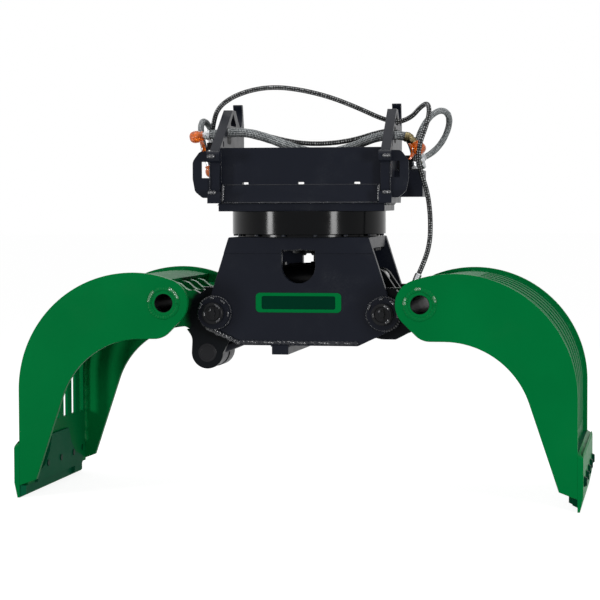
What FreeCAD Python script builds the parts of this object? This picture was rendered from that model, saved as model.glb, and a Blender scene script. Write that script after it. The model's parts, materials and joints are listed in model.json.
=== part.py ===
import FreeCAD, Part
import math
import os
from FreeCAD import Vector

# Sorting grapple standing open on its blades. Millimetres, +X across the jaws, -Y the front, +Z up.
# The origin lies on the ground under the slewing axis.

# Jaw hinges and closing motion
PIVOT_X = 300.0
PIVOT_Z = 650.0
PIN_R = 30.0
PIN_RUN = 0.05
BUSH_WALL = 6.0
HUB_R = 55.0
RUN_GAP = 3.0

# Jaw shells, seen from the front
JAW_WIDTH = 720.0
SIDE_T = 20.0
CROSS_X = 446.6
CROSS_Z = 691.0
CROSS_R = 45.0
CROSS_BORE_R = 31.0
LOBE_R = 85.0
BACK_X = 976.0
BACK_R = 416.0
INNER_X = 530.0
INNER_R = 300.0
INNER_DROP = 125.0
LOBE_FILLET_R = 70.0
LOBE_LOW_DEG = 225.0
LOBE_FILLET_DEG = 45.0
TOE_X = 914.0
TOE_Z = 66.0
HEEL_Z = 43.0
SHEET_INSET = 14.0
SHEET_T = 10.0
SHEET_TOP_DEG = 105.0
SLOT_W = 46.0
SLOT_COUNT = 7
SLOT_BOTTOM_Z = 240.0
SLOT_TOP_DEG = 82.0

# Bolted blade and the edge inside it
BLADE_T = 19.0
BLADE_H = 195.0
BLADE_CHAMFER = 42.0
BLADE_TIP_T = 8.0
BLADE_BEVEL_H = 52.0
BLADE_TOP_R = 4.0
SEAT_H = 150.0
BACKING_T = 12.0
BACKING_TOP_Z = 186.0
BACKING_CHAMFER = 60.0
EDGE_BAR_T = 21.0
EDGE_LIFT = 2.0
CORNER_LEN = 77.0
BOLT_Z = 97.0
BOLT_EDGE = 60.0
BOLT_COUNT = 5
BOLT_R = 12.0
BOLT_HOLE_R = 12.5
BOLT_HEAD_R = 21.0
BOLT_HEAD_H = 14.0

# Arm plates between hinge and shell
ARM_T = 25.0
ARM_INNER_Y = 42.0
ARM_HUB_R = 90.0
LEVER_HUB_R = 65.0
LEVER_LEN = 120.0
LEVER_LEAN_DEG = 25.0
LEVER_EYE_R = 45.0
LEVER_PIN_R = 25.0
LEVER_PIN_OUT = 4.0
LEVER_HEAD_STEP = 8.0
LEVER_HEAD_T = 8.0
ARM_TAIL_DEG = 52.0
ARM_TAIL_R = 8.0
ARM_TRIM_DEG = 125.0
ARM_CREST = (-12.0, 62.0, 30.0)
ARM_NECK = (-44.0, 33.0, 30.0)
ARM_SHOULDER = (55.0, 80.0, 60.0)
ARM_WAIST = (40.0, 20.0)
ARM_CHIN = (-27.0, -89.0, 40.0)
ARM_CHEST = (60.0, -95.0, 60.0)
ARM_BELLY = (-60.0, -90.0, 80.0)

# Synchronising rod between the jaws
SYNC_X = 335.0
SYNC_Z = 507.0
SYNC_EYE_R = 57.0
SYNC_PIN_R = 25.0
SYNC_LUG_LEN = 148.0
SYNC_LUG_DEG = 155.0
SYNC_LUG_R = 42.0
SYNC_ROD_R = 24.0
SYNC_BOSS_BACK_Y = 9.0
SYNC_ROOT = (110.0, -60.0, 0.0)
SYNC_WAIST = (54.0, 55.0, 45.0)
SYNC_BACK = (-70.0, -50.0, 0.0)
SYNC_LUG_WALL = 12.0
SYNC_EYE_STEP = 3.0
SYNC_PIN_OUT = 2.0
FORK_T = 25.0
FORK_LEN = 60.0
FORK_HALF_H = 34.0
FORK_NEAR = 30.0
FORK_CHEEK_R = 38.0
FORK_PIN_OUT = 6.0

# Closing cylinder
BARREL_R = 55.0
BORE_R = 45.0
ROD_R = 28.0
BARREL_START = 115.0
GLAND_LEN = 34.0
PISTON_LEN = 32.0
END_WALL = 10.0
CYL_EYE_R = 42.0
CYL_NECK_HALF_H = 33.6
GLAND_COLLAR_T = 6.0
ROD_EYE_IN = 30.0
PORT_HALF = 18.0
PORT_RISE = 10.0
PORT_FROM_START = 30.0
PORT_FROM_MOUTH = 60.0

# Frame below the slewing ring
FRAME_Y = 209.0
FRAME_T = 25.0
FRAME_TOP_Z = 916.0
FRAME_TOP_IN = 7.0
FRAME_BOTTOM_Z = 537.0
FRAME_BOTTOM_X = 210.0
FRAME_TOP_R = 6.0
FRAME_BOTTOM_R = 20.0
FRAME_SHOULDER = (30.0, 14.0, 40.0)
FRAME_CHEEK = (58.0, -29.0, 12.0)
FRAME_JAW = (46.0, -48.0, 12.0)
TOP_T = 40.0
BAND_Z = 860.0
BAND_T = 4.0
WINDOW_R = 60.0
WINDOW_Z = 815.0
WINDOW_TOP_Z = 872.0
BOSS_R = 56.0
BOSS_T = 22.0
CAP_R = 38.0
CAP_T = 12.0
CAP_BOLT_R = 8.0
CAP_BOLT_H = 8.0
CAP_BOLT_Z = 13.0
BAR_X = -66.0
BAR_W = 59.0
BAR_H = 32.0
SPACER_R = 28.0
SPACER_WALL = 8.0
SPACER_X = 95.0
SPACER_Z = 585.0

# Slewing ring
RING_R = 275.0
RING_GAP_H = 10.0
RING_H = 81.0
RING_INNER_R = 205.0
TURNTABLE_R = 256.0
RACE_R = 232.0
LIP_R = 246.0
LIP_H = 16.0
HOLLOW_R = 150.0
DRUM_BORE_R = 190.0
DRUM_DROP = 12.0
RING_BOLT_R = 9.0
RING_BOLT_H = 10.0
RING_BOLT_COUNT = 24
MANIFOLD_R = 60.0
MANIFOLD_DROP = 20.0
COLLAR_STEP = 18.0
COLLAR_T = 14.0
MOTOR_R = 46.0
MOTOR_LEN = 120.0
MOTOR_DEG = 75.0
MOTOR_SHAFT_R = 17.0
MOTOR_BODY_R = 36.0
MOTOR_FLANGE_T = 22.0
SHAFT_CLEAR = 3.0
SHAFT_IN = 10.0
TOOTH_MODULE = 6.5
RING_TEETH = 48
PINION_TEETH = 12
GEAR_RIM_R = 186.0
GEAR_H = 40.0
PINION_SHORT = 8.0
PINION_DROP = 4.0
TOOTH_FOOT = 0.33
TOOTH_CREST = 0.14
RING_TOOTH_TIP = 0.7
RING_TOOTH_ROOT = 1.2
PINION_TOOTH_ROOT = 1.1
PINION_TOOTH_TIP = 0.5

# Coupler adapter, turned a little on the slewing ring
ADAPTER_TURN_DEG = 4.0
BASE_X = 290.0
BASE_Y = 241.0
BASE_T = 28.0
EAR_IN = 280.0
EAR_T = 33.0
WALL_T = 20.0
WALL_UP = 193.0
BEND_UP = 65.0
SKIRT_OUT = 21.0
SKIRT_EDGE = 4.0
NOTCH_X = 195.0
NOTCH_W = 21.0
NOTCH_H = 10.0
NOTCH_DROP = 2.0
REAR_WALL_H = 34.0
BASE_BACK_Y = 215.0
EAR_FRONT_Y = -277.0
EAR_BACK_Y = 291.0
EAR_KNEE_UP = 183.0
PRONG_RISE = 96.0
PRONG_Y = 22.0
CLAW_TIP_UP = 40.0
CLAW_R = 46.0
CLAW_Y = 202.0
CLAW_UP = 326.0
CLAW_BITE = 0.7
EAR_FRONT_R = 4.0
EAR_KNEE_R = 8.0
PRONG_R = 6.0
SADDLE_BACK = 62.0
SADDLE_DROP = 30.0
SADDLE_R = 8.0
CLAW_LIP = 14.0
CLAW_LIP_R = 6.0
TAIL_CUT = 25.0
TAIL_CUT_R = 10.0
TAIL_SLOPE = 80.0
TAIL_R = 20.0
FOOT_OUT = 12.0
FOOT_R = 4.0
EAR_HOLE = ((-38.0, -58.0, 6.0), (38.0, -13.0, 6.0), (114.0, -58.0, 6.0))
EAR_BOSS_R = 20.0
EAR_BOSS_IN = 5.0
EAR_BOSS_OUT = 6.0
EAR_BOSS_DROP = 22.0
EAR_BLOCK_T = 26.0
EAR_BLOCK_H = 40.0
LOCK_R = 11.0
LOCK_Y = -184.0
LOCK_UP = 25.0
GUARD_BACK = 4.0
GUARD_T = 18.0
GUARD_OUTLINE = (
    (0.0, 19.0, 0.0), (28.0, 19.0, 14.0), (54.0, 41.0, 20.0), (62.0, 85.0, 30.0),
    (62.0, 145.0, 30.0), (36.0, 181.0, 22.0), (0.0, 181.0, 0.0),
)
GUARD_HOLE = (3.0, 32.0, 88.0, 144.0)
BRACKET_X = 411.0
BRACKET_Y0 = -62.0
BRACKET_Y1 = 140.0
BRACKET_UP = 21.0
BRACKET_H = 95.0
BRACKET_WALL = 8.0
PASSAGE_Y0 = -104.0
PASSAGE_Y1 = -14.0
PASSAGE_UP = 240.0
PASSAGE_H = 58.0
PASSAGE_R = 12.0

# Hoses in the adapter's own directions before its turn: middle line corners
THIN_R = 8.5
SLEEVE_R = 16.0
LOOP_R = 11.0
LONG_HOSE = (
    (-356, 30, 1290), (-353, 27, 1321), (-333, 11, 1378), (-283, 3, 1415), (-225, 0, 1437),
    (-164, 0, 1449), (-101, 1, 1450), (-40, 3, 1442), (21, 7, 1429), (80, 12, 1412),
    (138, 19, 1390), (194, 28, 1366), (250, 37, 1340), (311, 44, 1321), (366, 21, 1339),
    (400, -20, 1374), (435, -72, 1385), (453, -123, 1353), (440, -157, 1300), (413, -171, 1245),
    (399, -161, 1184), (416, -150, 1125), (433, -142, 1066), (441, -140, 1005), (443, -145, 947),
    (441, -153, 900), (432, -173, 852), (418, -197, 816),
)
SLEEVED_HOSE = (
    (-346, -77, 1279), (-307, -77, 1284), (-227, -77, 1289), (-150, -78, 1271), (-76, -82, 1242),
    (0, -88, 1217), (79, -91, 1209), (156, -86, 1229), (229, -79, 1261), (306, -74, 1278),
    (346, -73, 1279),
)
THIN_HOSE = (
    (-345, -30, 1286), (-314, -31, 1292), (-252, -34, 1295), (-190, -37, 1286), (-130, -38, 1271),
    (-69, -39, 1256), (-7, -40, 1247), (56, -40, 1246), (119, -40, 1251), (180, -38, 1263),
    (240, -35, 1282), (302, -33, 1294), (355, -35, 1268), (377, -38, 1210), (379, -38, 1180),
)
RIGHT_LOOP = (
    (395, 4, 1196), (388, -15, 1213), (392, -39, 1259), (412, -41, 1308), (441, -19, 1347),
    (470, 21, 1365), (492, 68, 1358), (499, 112, 1330), (487, 141, 1287), (461, 147, 1242),
    (424, 130, 1207), (406, 113, 1200),
)
LEFT_LOOP = (
    (-375, -40, 1236), (-382, -40, 1262), (-391, -15, 1307), (-393, 31, 1333), (-389, 85, 1333),
    (-378, 131, 1307), (-364, 158, 1262), (-357, 158, 1236),
)
ARC_SHARE = 0.45

# Fittings as (length, radius) steps from a hose end, dust caps and port blocks
LONG_PORT_STEPS = ((26.0, 12.0), (12.0, 15.0))
LONG_END_STEPS = ((32.0, 12.0), (7.0, 9.0))
SLEEVED_LEFT_STEPS = ((16.0, 18.0), (9.0, 13.0))
SLEEVED_RIGHT_STEPS = ((17.0, 18.0),)
THIN_LEFT_STEPS = ((14.0, 11.0), (10.0, 9.0))
THIN_RIGHT_STEPS = ((20.0, 11.5), (8.0, 15.0))
RIGHT_LOOP_LOW_STEPS = ((26.0, 14.0), (40.0, 11.0))
RIGHT_LOOP_PORT_STEPS = ((24.0, 14.0), (10.0, 17.0))
LEFT_LOOP_CAP_STEPS = ((30.0, 14.0), (38.0, 11.0))
LEFT_LOOP_PORT_STEPS = ((30.0, 14.0),)
PORT_STUB_R = 11.0
PORT_STUB_LEN = 12.0
ELBOW_R = 15.0
ELBOW_LEN = 30.0
LEFT_CAP = (22.0, 50.0)
RIGHT_CAP = (23.5, 46.0)
LOW_CAP = (19.0, 42.0)
CAP_WAY = (0.62, -0.3, -0.72)
CAP_ROUND = 0.4
LONG_BLOCK = (-374.0, 14.0, 52.0, -24.0, 2.0)
LEFT_BLOCK = (-372.0, 138.0, 178.0, -30.0, -4.0)
RIGHT_BLOCK = (6.0, 82.0, 124.0, 55.0)
FAR = 9999.0

GAP = 0.3


def box(x0, x1, y0, y1, z0, z1):
    """Block between two corners."""
    return Part.makeBox(x1 - x0, y1 - y0, z1 - z0, Vector(x0, y0, z0))


def rod_y(r, x, z, y0, y1):
    """Cylinder along Y."""
    return Part.makeCylinder(r, y1 - y0, Vector(x, y0, z), Vector(0, 1, 0))


def rod_x(r, y, z, x0, x1):
    """Cylinder along X."""
    return Part.makeCylinder(r, x1 - x0, Vector(x0, y, z), Vector(1, 0, 0))


def rod_z(r, x, y, z0, z1):
    """Cylinder along Z."""
    return Part.makeCylinder(r, z1 - z0, Vector(x, y, z0), Vector(0, 0, 1))


def tube_y(r, bore, x, z, y0, y1):
    """Ring along Y."""
    return rod_y(r, x, z, y0, y1).cut(rod_y(bore, x, z, y0, y1))


def tube_z(r, bore, x, y, z0, z1):
    """Ring along Z."""
    return rod_z(r, x, y, z0, z1).cut(rod_z(bore, x, y, z0, z1))


def unit(v):
    """Direction of a vector."""
    return Vector(v.x, v.y, v.z).normalize()


def rounded_wire(corners):
    """Closed wire through (point, radius) corners, each rounded by its radius."""
    count = len(corners)
    starts, ends, edges = [], [], []
    for i, (p, r) in enumerate(corners):
        a = unit(corners[i - 1][0] - p)
        b = unit(corners[(i + 1) % count][0] - p)
        half = a.getAngle(b) / 2
        if r <= 0 or half > math.pi / 2 - 0.01:
            starts.append(p)
            ends.append(p)
            edges.append(None)
            continue
        reach = r / math.tan(half)
        centre = p + unit(a + b) * (r / math.sin(half))
        starts.append(p + a * reach)
        ends.append(p + b * reach)
        edges.append(Part.Arc(starts[-1], centre + unit(p - centre) * r, ends[-1]).toShape())
    path = []
    for i in range(count):
        if edges[i]:
            path.append(edges[i])
        a = ends[i]
        b = starts[(i + 1) % count]
        if a.distanceToPoint(b) > 0.001:
            path.append(Part.LineSegment(a, b).toShape())
    return Part.Wire(path)


def plate_xz(corners, y0, y1):
    """Plate with its outline in XZ, from y0 to y1. Corners are (x, z, radius)."""
    wire = rounded_wire([(Vector(x, y0, z), r) for x, z, r in corners])
    return Part.Face(wire).extrude(Vector(0, y1 - y0, 0))


def plate_yz(corners, x0, x1):
    """Plate with its outline in YZ, from x0 to x1. Corners are (y, z, radius)."""
    wire = rounded_wire([(Vector(x0, y, z), r) for y, z, r in corners])
    return Part.Face(wire).extrude(Vector(x1 - x0, 0, 0))


def beside(x, z, corner):
    """Outline corner (x, z, radius) measured from a place."""
    return (x + corner[0], z + corner[1], corner[2])


def polar(x, z, r, deg, y=0.0):
    """Point on a circle in XZ, its angle counted from +X towards +Z."""
    a = math.radians(deg)
    return Vector(x + r * math.cos(a), y, z + r * math.sin(a))


def line(a, b):
    """Straight edge."""
    return Part.LineSegment(a, b).toShape()


def arc(x, z, r, deg0, deg1, y=0.0):
    """Arc edge in XZ from one angle to the other."""
    middle = polar(x, z, r, (deg0 + deg1) / 2, y)
    return Part.Arc(polar(x, z, r, deg0, y), middle, polar(x, z, r, deg1, y)).toShape()


def half_turn(shape):
    """The same piece on the left jaw."""
    return shape.rotated(Vector(0, 0, 0), Vector(0, 0, 1), 180)


def turned(shape):
    """Piece of the adapter, turned about the slewing axis."""
    return shape.rotated(Vector(0, 0, 0), Vector(0, 0, 1), ADAPTER_TURN_DEG)


def save(node, solids):
    """Write one node from a list of solids."""
    parts = []
    for solid in solids:
        parts.extend(solid.Solids)
    Part.makeCompound(parts).exportStep(os.path.join("parts", node + ".step"))


# Derived places of the ring, the frame and the jaw outline
RING_BOTTOM_Z = FRAME_TOP_Z + RING_GAP_H
RING_TOP_Z = RING_BOTTOM_Z + RING_H
FRAME_TOP_X = TURNTABLE_R - FRAME_TOP_IN
BACK_CX = BACK_X - BACK_R
BACK_CZ = CROSS_Z - math.sqrt((BACK_R - LOBE_R) ** 2 - (BACK_CX - CROSS_X) ** 2)
INNER_Z = CROSS_Z - INNER_DROP
INNER_CZ = INNER_Z - INNER_R
SIDE_Y = JAW_WIDTH / 2
SHEET_Y = SIDE_Y - SIDE_T
SLOT_PITCH = 2 * SHEET_Y / SLOT_COUNT
BOLT_PITCH = (JAW_WIDTH - 2 * BOLT_EDGE) / (BOLT_COUNT - 1)
SHEET_R = BACK_R - SHEET_INSET
SHEET_IN_R = SHEET_R - SHEET_T
ARM_OUTER_Y = FRAME_Y - FRAME_T - RUN_GAP
ARM_YS = (-ARM_OUTER_Y, -ARM_INNER_Y - ARM_T, ARM_INNER_Y, ARM_OUTER_Y - ARM_T)
LEVER_X = PIVOT_X - LEVER_LEN * math.sin(math.radians(LEVER_LEAN_DEG))
LEVER_Z = PIVOT_Z + LEVER_LEN * math.cos(math.radians(LEVER_LEAN_DEG))
TIP_REACH = math.hypot(BACK_X - PIVOT_X, PIVOT_Z)
TIP_GAP = 2.0
CLOSE_DEG = math.degrees(
    math.pi - math.acos((PIVOT_X - TIP_GAP) / TIP_REACH) - math.atan2(PIVOT_Z, BACK_X - PIVOT_X)
)
STROKE = 2 * LEVER_LEN * (
    math.sin(math.radians(LEVER_LEAN_DEG)) + math.sin(math.radians(CLOSE_DEG - LEVER_LEAN_DEG))
)


def side_outline(y):
    """Edges of the curved side plate: outer arc, heel, toe, inner arc and hinge lobe."""
    tangent_deg = math.degrees(math.atan2(CROSS_Z - BACK_CZ, CROSS_X - BACK_CX))
    toe = Vector(TOE_X, y, TOE_Z)
    reach = math.hypot(TOE_X - INNER_X, TOE_Z - INNER_CZ)
    slope_deg = math.degrees(
        math.atan2(TOE_Z - INNER_CZ, TOE_X - INNER_X) + math.acos(INNER_R / reach)
    )
    lobe_low = polar(CROSS_X, CROSS_Z, LOBE_R, LOBE_LOW_DEG, y)
    corner_x = lobe_low.x + lobe_low.z - INNER_Z
    pull = LOBE_FILLET_R * math.tan(math.radians(LOBE_FILLET_DEG / 2))
    fillet_a = Vector(corner_x - pull * math.sqrt(0.5), y, INNER_Z + pull * math.sqrt(0.5))
    fillet_b = Vector(corner_x + pull, y, INNER_Z)
    centre = Vector(fillet_b.x, y, INNER_Z + LOBE_FILLET_R)
    middle = polar(centre.x, centre.z, LOBE_FILLET_R, LOBE_LOW_DEG + LOBE_FILLET_DEG / 2, y)
    return [
        arc(BACK_CX, BACK_CZ, BACK_R, tangent_deg, 0, y),
        line(Vector(BACK_X, y, BACK_CZ), Vector(BACK_X, y, HEEL_Z)),
        line(Vector(BACK_X, y, HEEL_Z), toe),
        line(toe, polar(INNER_X, INNER_CZ, INNER_R, slope_deg, y)),
        arc(INNER_X, INNER_CZ, INNER_R, slope_deg, 90, y),
        line(Vector(INNER_X, y, INNER_Z), fillet_b),
        Part.Arc(fillet_b, middle, fillet_a).toShape(),
        line(fillet_a, lobe_low),
        arc(CROSS_X, CROSS_Z, LOBE_R, LOBE_LOW_DEG, tangent_deg, y),
    ]


def side_plates():
    """Front and rear side plate, bored for the cross tube."""
    plates = []
    for y in (-SIDE_Y, SHEET_Y):
        face = Part.Face(Part.Wire(side_outline(y)))
        plate = face.extrude(Vector(0, SIDE_T, 0))
        plates.append(plate.cut(rod_y(CROSS_R, CROSS_X, CROSS_Z, y, y + SIDE_T)))
    return plates


def cross_tube():
    """Tube across the jaw through all side and arm plates."""
    return tube_y(CROSS_R, CROSS_BORE_R, CROSS_X, CROSS_Z, -SIDE_Y, SIDE_Y)


def sheet_strip(r_out, r_in, z0, deg, y0, y1):
    """Bent strip that follows the back: upright below the arc's centre, then round to an angle."""
    x_out = BACK_CX + r_out
    x_in = BACK_CX + r_in
    a = Vector(x_out, y0, z0)
    b = Vector(x_in, y0, z0)
    edges = [
        line(a, Vector(x_out, y0, BACK_CZ)),
        arc(BACK_CX, BACK_CZ, r_out, 0, deg, y0),
        line(polar(BACK_CX, BACK_CZ, r_out, deg, y0), polar(BACK_CX, BACK_CZ, r_in, deg, y0)),
        arc(BACK_CX, BACK_CZ, r_in, deg, 0, y0),
        line(Vector(x_in, y0, BACK_CZ), b),
        line(b, a),
    ]
    return Part.Face(Part.Wire(edges)).extrude(Vector(0, y1 - y0, 0))


def shell_sheet():
    """Back sheet between its sieve slots: foot, ribs and top band."""
    foot = box(BACK_CX + SHEET_IN_R, BACK_CX + SHEET_R, -SHEET_Y, SHEET_Y, HEEL_Z, SLOT_BOTTOM_Z)
    for y in bolt_ys():
        foot = foot.cut(rod_x(BOLT_HOLE_R, y, BOLT_Z, BACK_CX, BACK_X))
    top = band(SHEET_R, SHEET_IN_R, SLOT_TOP_DEG, SHEET_TOP_DEG, -SHEET_Y, SHEET_Y)
    edges = [-SHEET_Y]
    for i in range(SLOT_COUNT):
        y = (i - (SLOT_COUNT - 1) / 2) * SLOT_PITCH
        edges.extend([y - SLOT_W / 2, y + SLOT_W / 2])
    edges.append(SHEET_Y)
    pieces = [foot, top]
    for y0, y1 in zip(edges[0::2], edges[1::2]):
        pieces.append(sheet_strip(SHEET_R, SHEET_IN_R, SLOT_BOTTOM_Z, SLOT_TOP_DEG, y0, y1))
    return pieces


def band(r_out, r_in, deg0, deg1, y0, y1):
    """Piece of the back's arc between two angles."""
    edges = [
        arc(BACK_CX, BACK_CZ, r_out, deg0, deg1, y0),
        line(polar(BACK_CX, BACK_CZ, r_out, deg1, y0), polar(BACK_CX, BACK_CZ, r_in, deg1, y0)),
        arc(BACK_CX, BACK_CZ, r_in, deg1, deg0, y0),
        line(polar(BACK_CX, BACK_CZ, r_in, deg0, y0), polar(BACK_CX, BACK_CZ, r_out, deg0, y0)),
    ]
    return Part.Face(Part.Wire(edges)).extrude(Vector(0, y1 - y0, 0))


def bolt_ys():
    """Places of the blade bolts across the jaw."""
    return [(i - (BOLT_COUNT - 1) / 2) * BOLT_PITCH for i in range(BOLT_COUNT)]


def blade():
    """Outer cutting plate: chamfered upper corners, bevelled edge, bolt holes."""
    profile = [
        (BACK_X, 0.0, 0),
        (BACK_X + BLADE_TIP_T, 0.0, 0),
        (BACK_X + BLADE_T, BLADE_BEVEL_H, 0),
        (BACK_X + BLADE_T, BLADE_H, BLADE_TOP_R),
        (BACK_X, BLADE_H, 0),
    ]
    body = plate_xz(profile, -SIDE_Y, SIDE_Y)
    face = [
        (-SIDE_Y, 0.0, 0),
        (SIDE_Y, 0.0, 0),
        (SIDE_Y, BLADE_H - BLADE_CHAMFER, 0),
        (SIDE_Y - BLADE_CHAMFER, BLADE_H, 0),
        (-SIDE_Y + BLADE_CHAMFER, BLADE_H, 0),
        (-SIDE_Y, BLADE_H - BLADE_CHAMFER, 0),
    ]
    body = body.common(plate_yz(face, BACK_X, BACK_X + BLADE_T))
    for y in bolt_ys():
        body = body.cut(rod_x(BOLT_HOLE_R, y, BOLT_Z, BACK_X, BACK_X + BLADE_T))
    return body


def blade_seat():
    """Bar between sheet and blade that the blade bolts against."""
    bar = box(BACK_CX + SHEET_R, BACK_X, -SHEET_Y, SHEET_Y, HEEL_Z, HEEL_Z + SEAT_H)
    for y in bolt_ys():
        bar = bar.cut(rod_x(BOLT_HOLE_R, y, BOLT_Z, BACK_CX, BACK_X))
    return bar


def backing_plate():
    """Plate inside the sheet, its upper corners cut off."""
    x1 = BACK_CX + SHEET_IN_R
    low = HEEL_Z
    face = [
        (-SHEET_Y, low, 0),
        (SHEET_Y, low, 0),
        (SHEET_Y, BACKING_TOP_Z - BACKING_CHAMFER, 0),
        (SHEET_Y - BACKING_CHAMFER, BACKING_TOP_Z, 0),
        (-SHEET_Y + BACKING_CHAMFER, BACKING_TOP_Z, 0),
        (-SHEET_Y, BACKING_TOP_Z - BACKING_CHAMFER, 0),
    ]
    body = plate_yz(face, x1 - BACKING_T, x1)
    for y in bolt_ys():
        body = body.cut(rod_x(BOLT_HOLE_R, y, BOLT_Z, x1 - BACKING_T, x1))
    return body


def inner_edge():
    """Bar behind the blade's foot, short of its corners, its underside cut for the other jaw."""
    rise = EDGE_BAR_T / math.tan(math.radians(CLOSE_DEG))
    profile = [
        (BACK_X, EDGE_LIFT, 0),
        (BACK_X, HEEL_Z, 0),
        (BACK_X - EDGE_BAR_T, HEEL_Z, 0),
        (BACK_X - EDGE_BAR_T, EDGE_LIFT + rise, 0),
    ]
    return plate_xz(profile, -SIDE_Y + CORNER_LEN, SIDE_Y - CORNER_LEN)


def blade_bolts():
    """Bolts through blade, seat, sheet and backing plate, each with its nut."""
    head = BACK_X + BLADE_T
    nut = BACK_CX + SHEET_IN_R - BACKING_T
    bolts = []
    for y in bolt_ys():
        bolt = rod_x(BOLT_R, y, BOLT_Z, nut - BOLT_HEAD_H, head)
        bolt = bolt.fuse(hexagon_x(BOLT_HEAD_R, y, BOLT_Z, head, head + BOLT_HEAD_H))
        bolt = bolt.fuse(hexagon_x(BOLT_HEAD_R, y, BOLT_Z, nut - BOLT_HEAD_H, nut))
        bolts.append(bolt)
    return bolts


def hexagon_x(r, y, z, x0, x1):
    """Hexagonal head along X, r to its corners."""
    corners = []
    for i in range(6):
        a = math.radians(60 * i)
        corners.append((y + r * math.cos(a), z + r * math.sin(a), 0))
    return plate_yz(corners, x0, x1)


def arm_outline(inner):
    """Arm from the hinge to the shell. The inner pair reaches up to the cylinder pin."""
    tail = polar(BACK_CX, BACK_CZ, SHEET_IN_R, ARM_TAIL_DEG)
    lip = polar(BACK_CX, BACK_CZ, SHEET_IN_R, SHEET_TOP_DEG)
    hub = LEVER_HUB_R if inner else ARM_HUB_R
    top = PIVOT_Z + hub
    shoulder_x, shoulder_z, shoulder_r = ARM_SHOULDER
    return [
        (tail.x, tail.z, ARM_TAIL_R),
        (lip.x, lip.z, 0),
        beside(CROSS_X, CROSS_Z, ARM_CREST),
        beside(CROSS_X, CROSS_Z, ARM_NECK),
        (PIVOT_X + shoulder_x, max(top, PIVOT_Z + shoulder_z), shoulder_r),
        (PIVOT_X, top, 0),
        (PIVOT_X, PIVOT_Z - hub, 0),
        (PIVOT_X + ARM_WAIST[0], PIVOT_Z - hub, ARM_WAIST[1]),
        beside(CROSS_X, CROSS_Z, ARM_CHIN),
        beside(CROSS_X, CROSS_Z, ARM_CHEST),
        beside(tail.x, tail.z, ARM_BELLY),
    ]


def arm_plates(lever_sides):
    """Four arm plates, welded to hub tubes and cross tube."""
    plates = []
    for i, y in enumerate(ARM_YS):
        inner = i in (1, 2)
        hub = LEVER_HUB_R if inner else ARM_HUB_R
        plate = plate_xz(arm_outline(inner), y, y + ARM_T)
        keep = sheet_strip(BACK_R, SHEET_IN_R, 0, ARM_TRIM_DEG, y, y + ARM_T)
        plate = plate.cut(keep).fuse(rod_y(hub, PIVOT_X, PIVOT_Z, y, y + ARM_T))
        if inner:
            plate = plate.fuse(lever(y))
        plate = plate.cut(rod_y(CROSS_R, CROSS_X, CROSS_Z, y, y + ARM_T))
        plate = plate.cut(rod_y(HUB_R, PIVOT_X, PIVOT_Z, y, y + ARM_T))
        plates.append(plate.removeSplitter())
    for i in lever_sides:
        plates[i] = plates[i].fuse(sync_lever(ARM_YS[i])).removeSplitter()
    return plates


def lever(y):
    """Tapered lever from the hub up to the cylinder pin."""
    arm = tangent_link(PIVOT_X, PIVOT_Z, LEVER_HUB_R, LEVER_X, LEVER_Z, LEVER_EYE_R, y, y + ARM_T)
    return arm.cut(rod_y(LEVER_PIN_R, LEVER_X, LEVER_Z, y, y + ARM_T))


def tangent_link(x0, z0, r0, x1, z1, r1, y0, y1):
    """Plate of two circles joined by their outer tangents."""
    length = math.hypot(x1 - x0, z1 - z0)
    base = math.degrees(math.atan2(z1 - z0, x1 - x0))
    spread = math.degrees(math.acos((r0 - r1) / length))
    a = polar(x0, z0, r0, base + spread, y0)
    b = polar(x1, z1, r1, base + spread, y0)
    c = polar(x1, z1, r1, base - spread, y0)
    d = polar(x0, z0, r0, base - spread, y0)
    edges = [
        line(a, b),
        Part.Arc(b, polar(x1, z1, r1, base, y0), c).toShape(),
        line(c, d),
        Part.Arc(d, polar(x0, z0, r0, base + 180, y0), a).toShape(),
    ]
    return Part.Face(Part.Wire(edges)).extrude(Vector(0, y1 - y0, 0))


def sync_lever(y):
    """Lever below the hinge for the synchronising rod, with a waisted outer side."""
    corners = [
        beside(PIVOT_X, PIVOT_Z, SYNC_ROOT),
        beside(SYNC_X, SYNC_Z, SYNC_WAIST),
        (SYNC_X + SYNC_EYE_R, SYNC_Z, 0),
        (SYNC_X, SYNC_Z - SYNC_EYE_R, 0),
        (SYNC_X - SYNC_EYE_R, SYNC_Z, 0),
        beside(PIVOT_X, PIVOT_Z, SYNC_BACK),
    ]
    leg = plate_xz(corners, y, y + ARM_T)
    leg = leg.fuse(rod_y(SYNC_EYE_R, SYNC_X, SYNC_Z, y, y + ARM_T))
    leg = leg.cut(rod_y(HUB_R, PIVOT_X, PIVOT_Z, y, y + ARM_T))
    return leg.cut(rod_y(SYNC_PIN_R, SYNC_X, SYNC_Z, y, y + ARM_T))


def hub_tubes():
    """Hub tube through each pair of arm plates, and its bore for the bushes."""
    bore = PIN_R + BUSH_WALL
    y0 = ARM_INNER_Y
    front = tube_y(HUB_R, bore, PIVOT_X, PIVOT_Z, -ARM_OUTER_Y, -y0)
    rear = tube_y(HUB_R, bore, PIVOT_X, PIVOT_Z, y0, ARM_OUTER_Y)
    return [front, rear]


def hub_bushes():
    """Bronze bush in each hub tube, running on the hinge pin."""
    bore = PIN_R + PIN_RUN
    wall = PIN_R + BUSH_WALL
    y0 = ARM_INNER_Y
    front = tube_y(wall, bore, PIVOT_X, PIVOT_Z, -ARM_OUTER_Y, -y0)
    rear = tube_y(wall, bore, PIVOT_X, PIVOT_Z, y0, ARM_OUTER_Y)
    return [front, rear]


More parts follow.
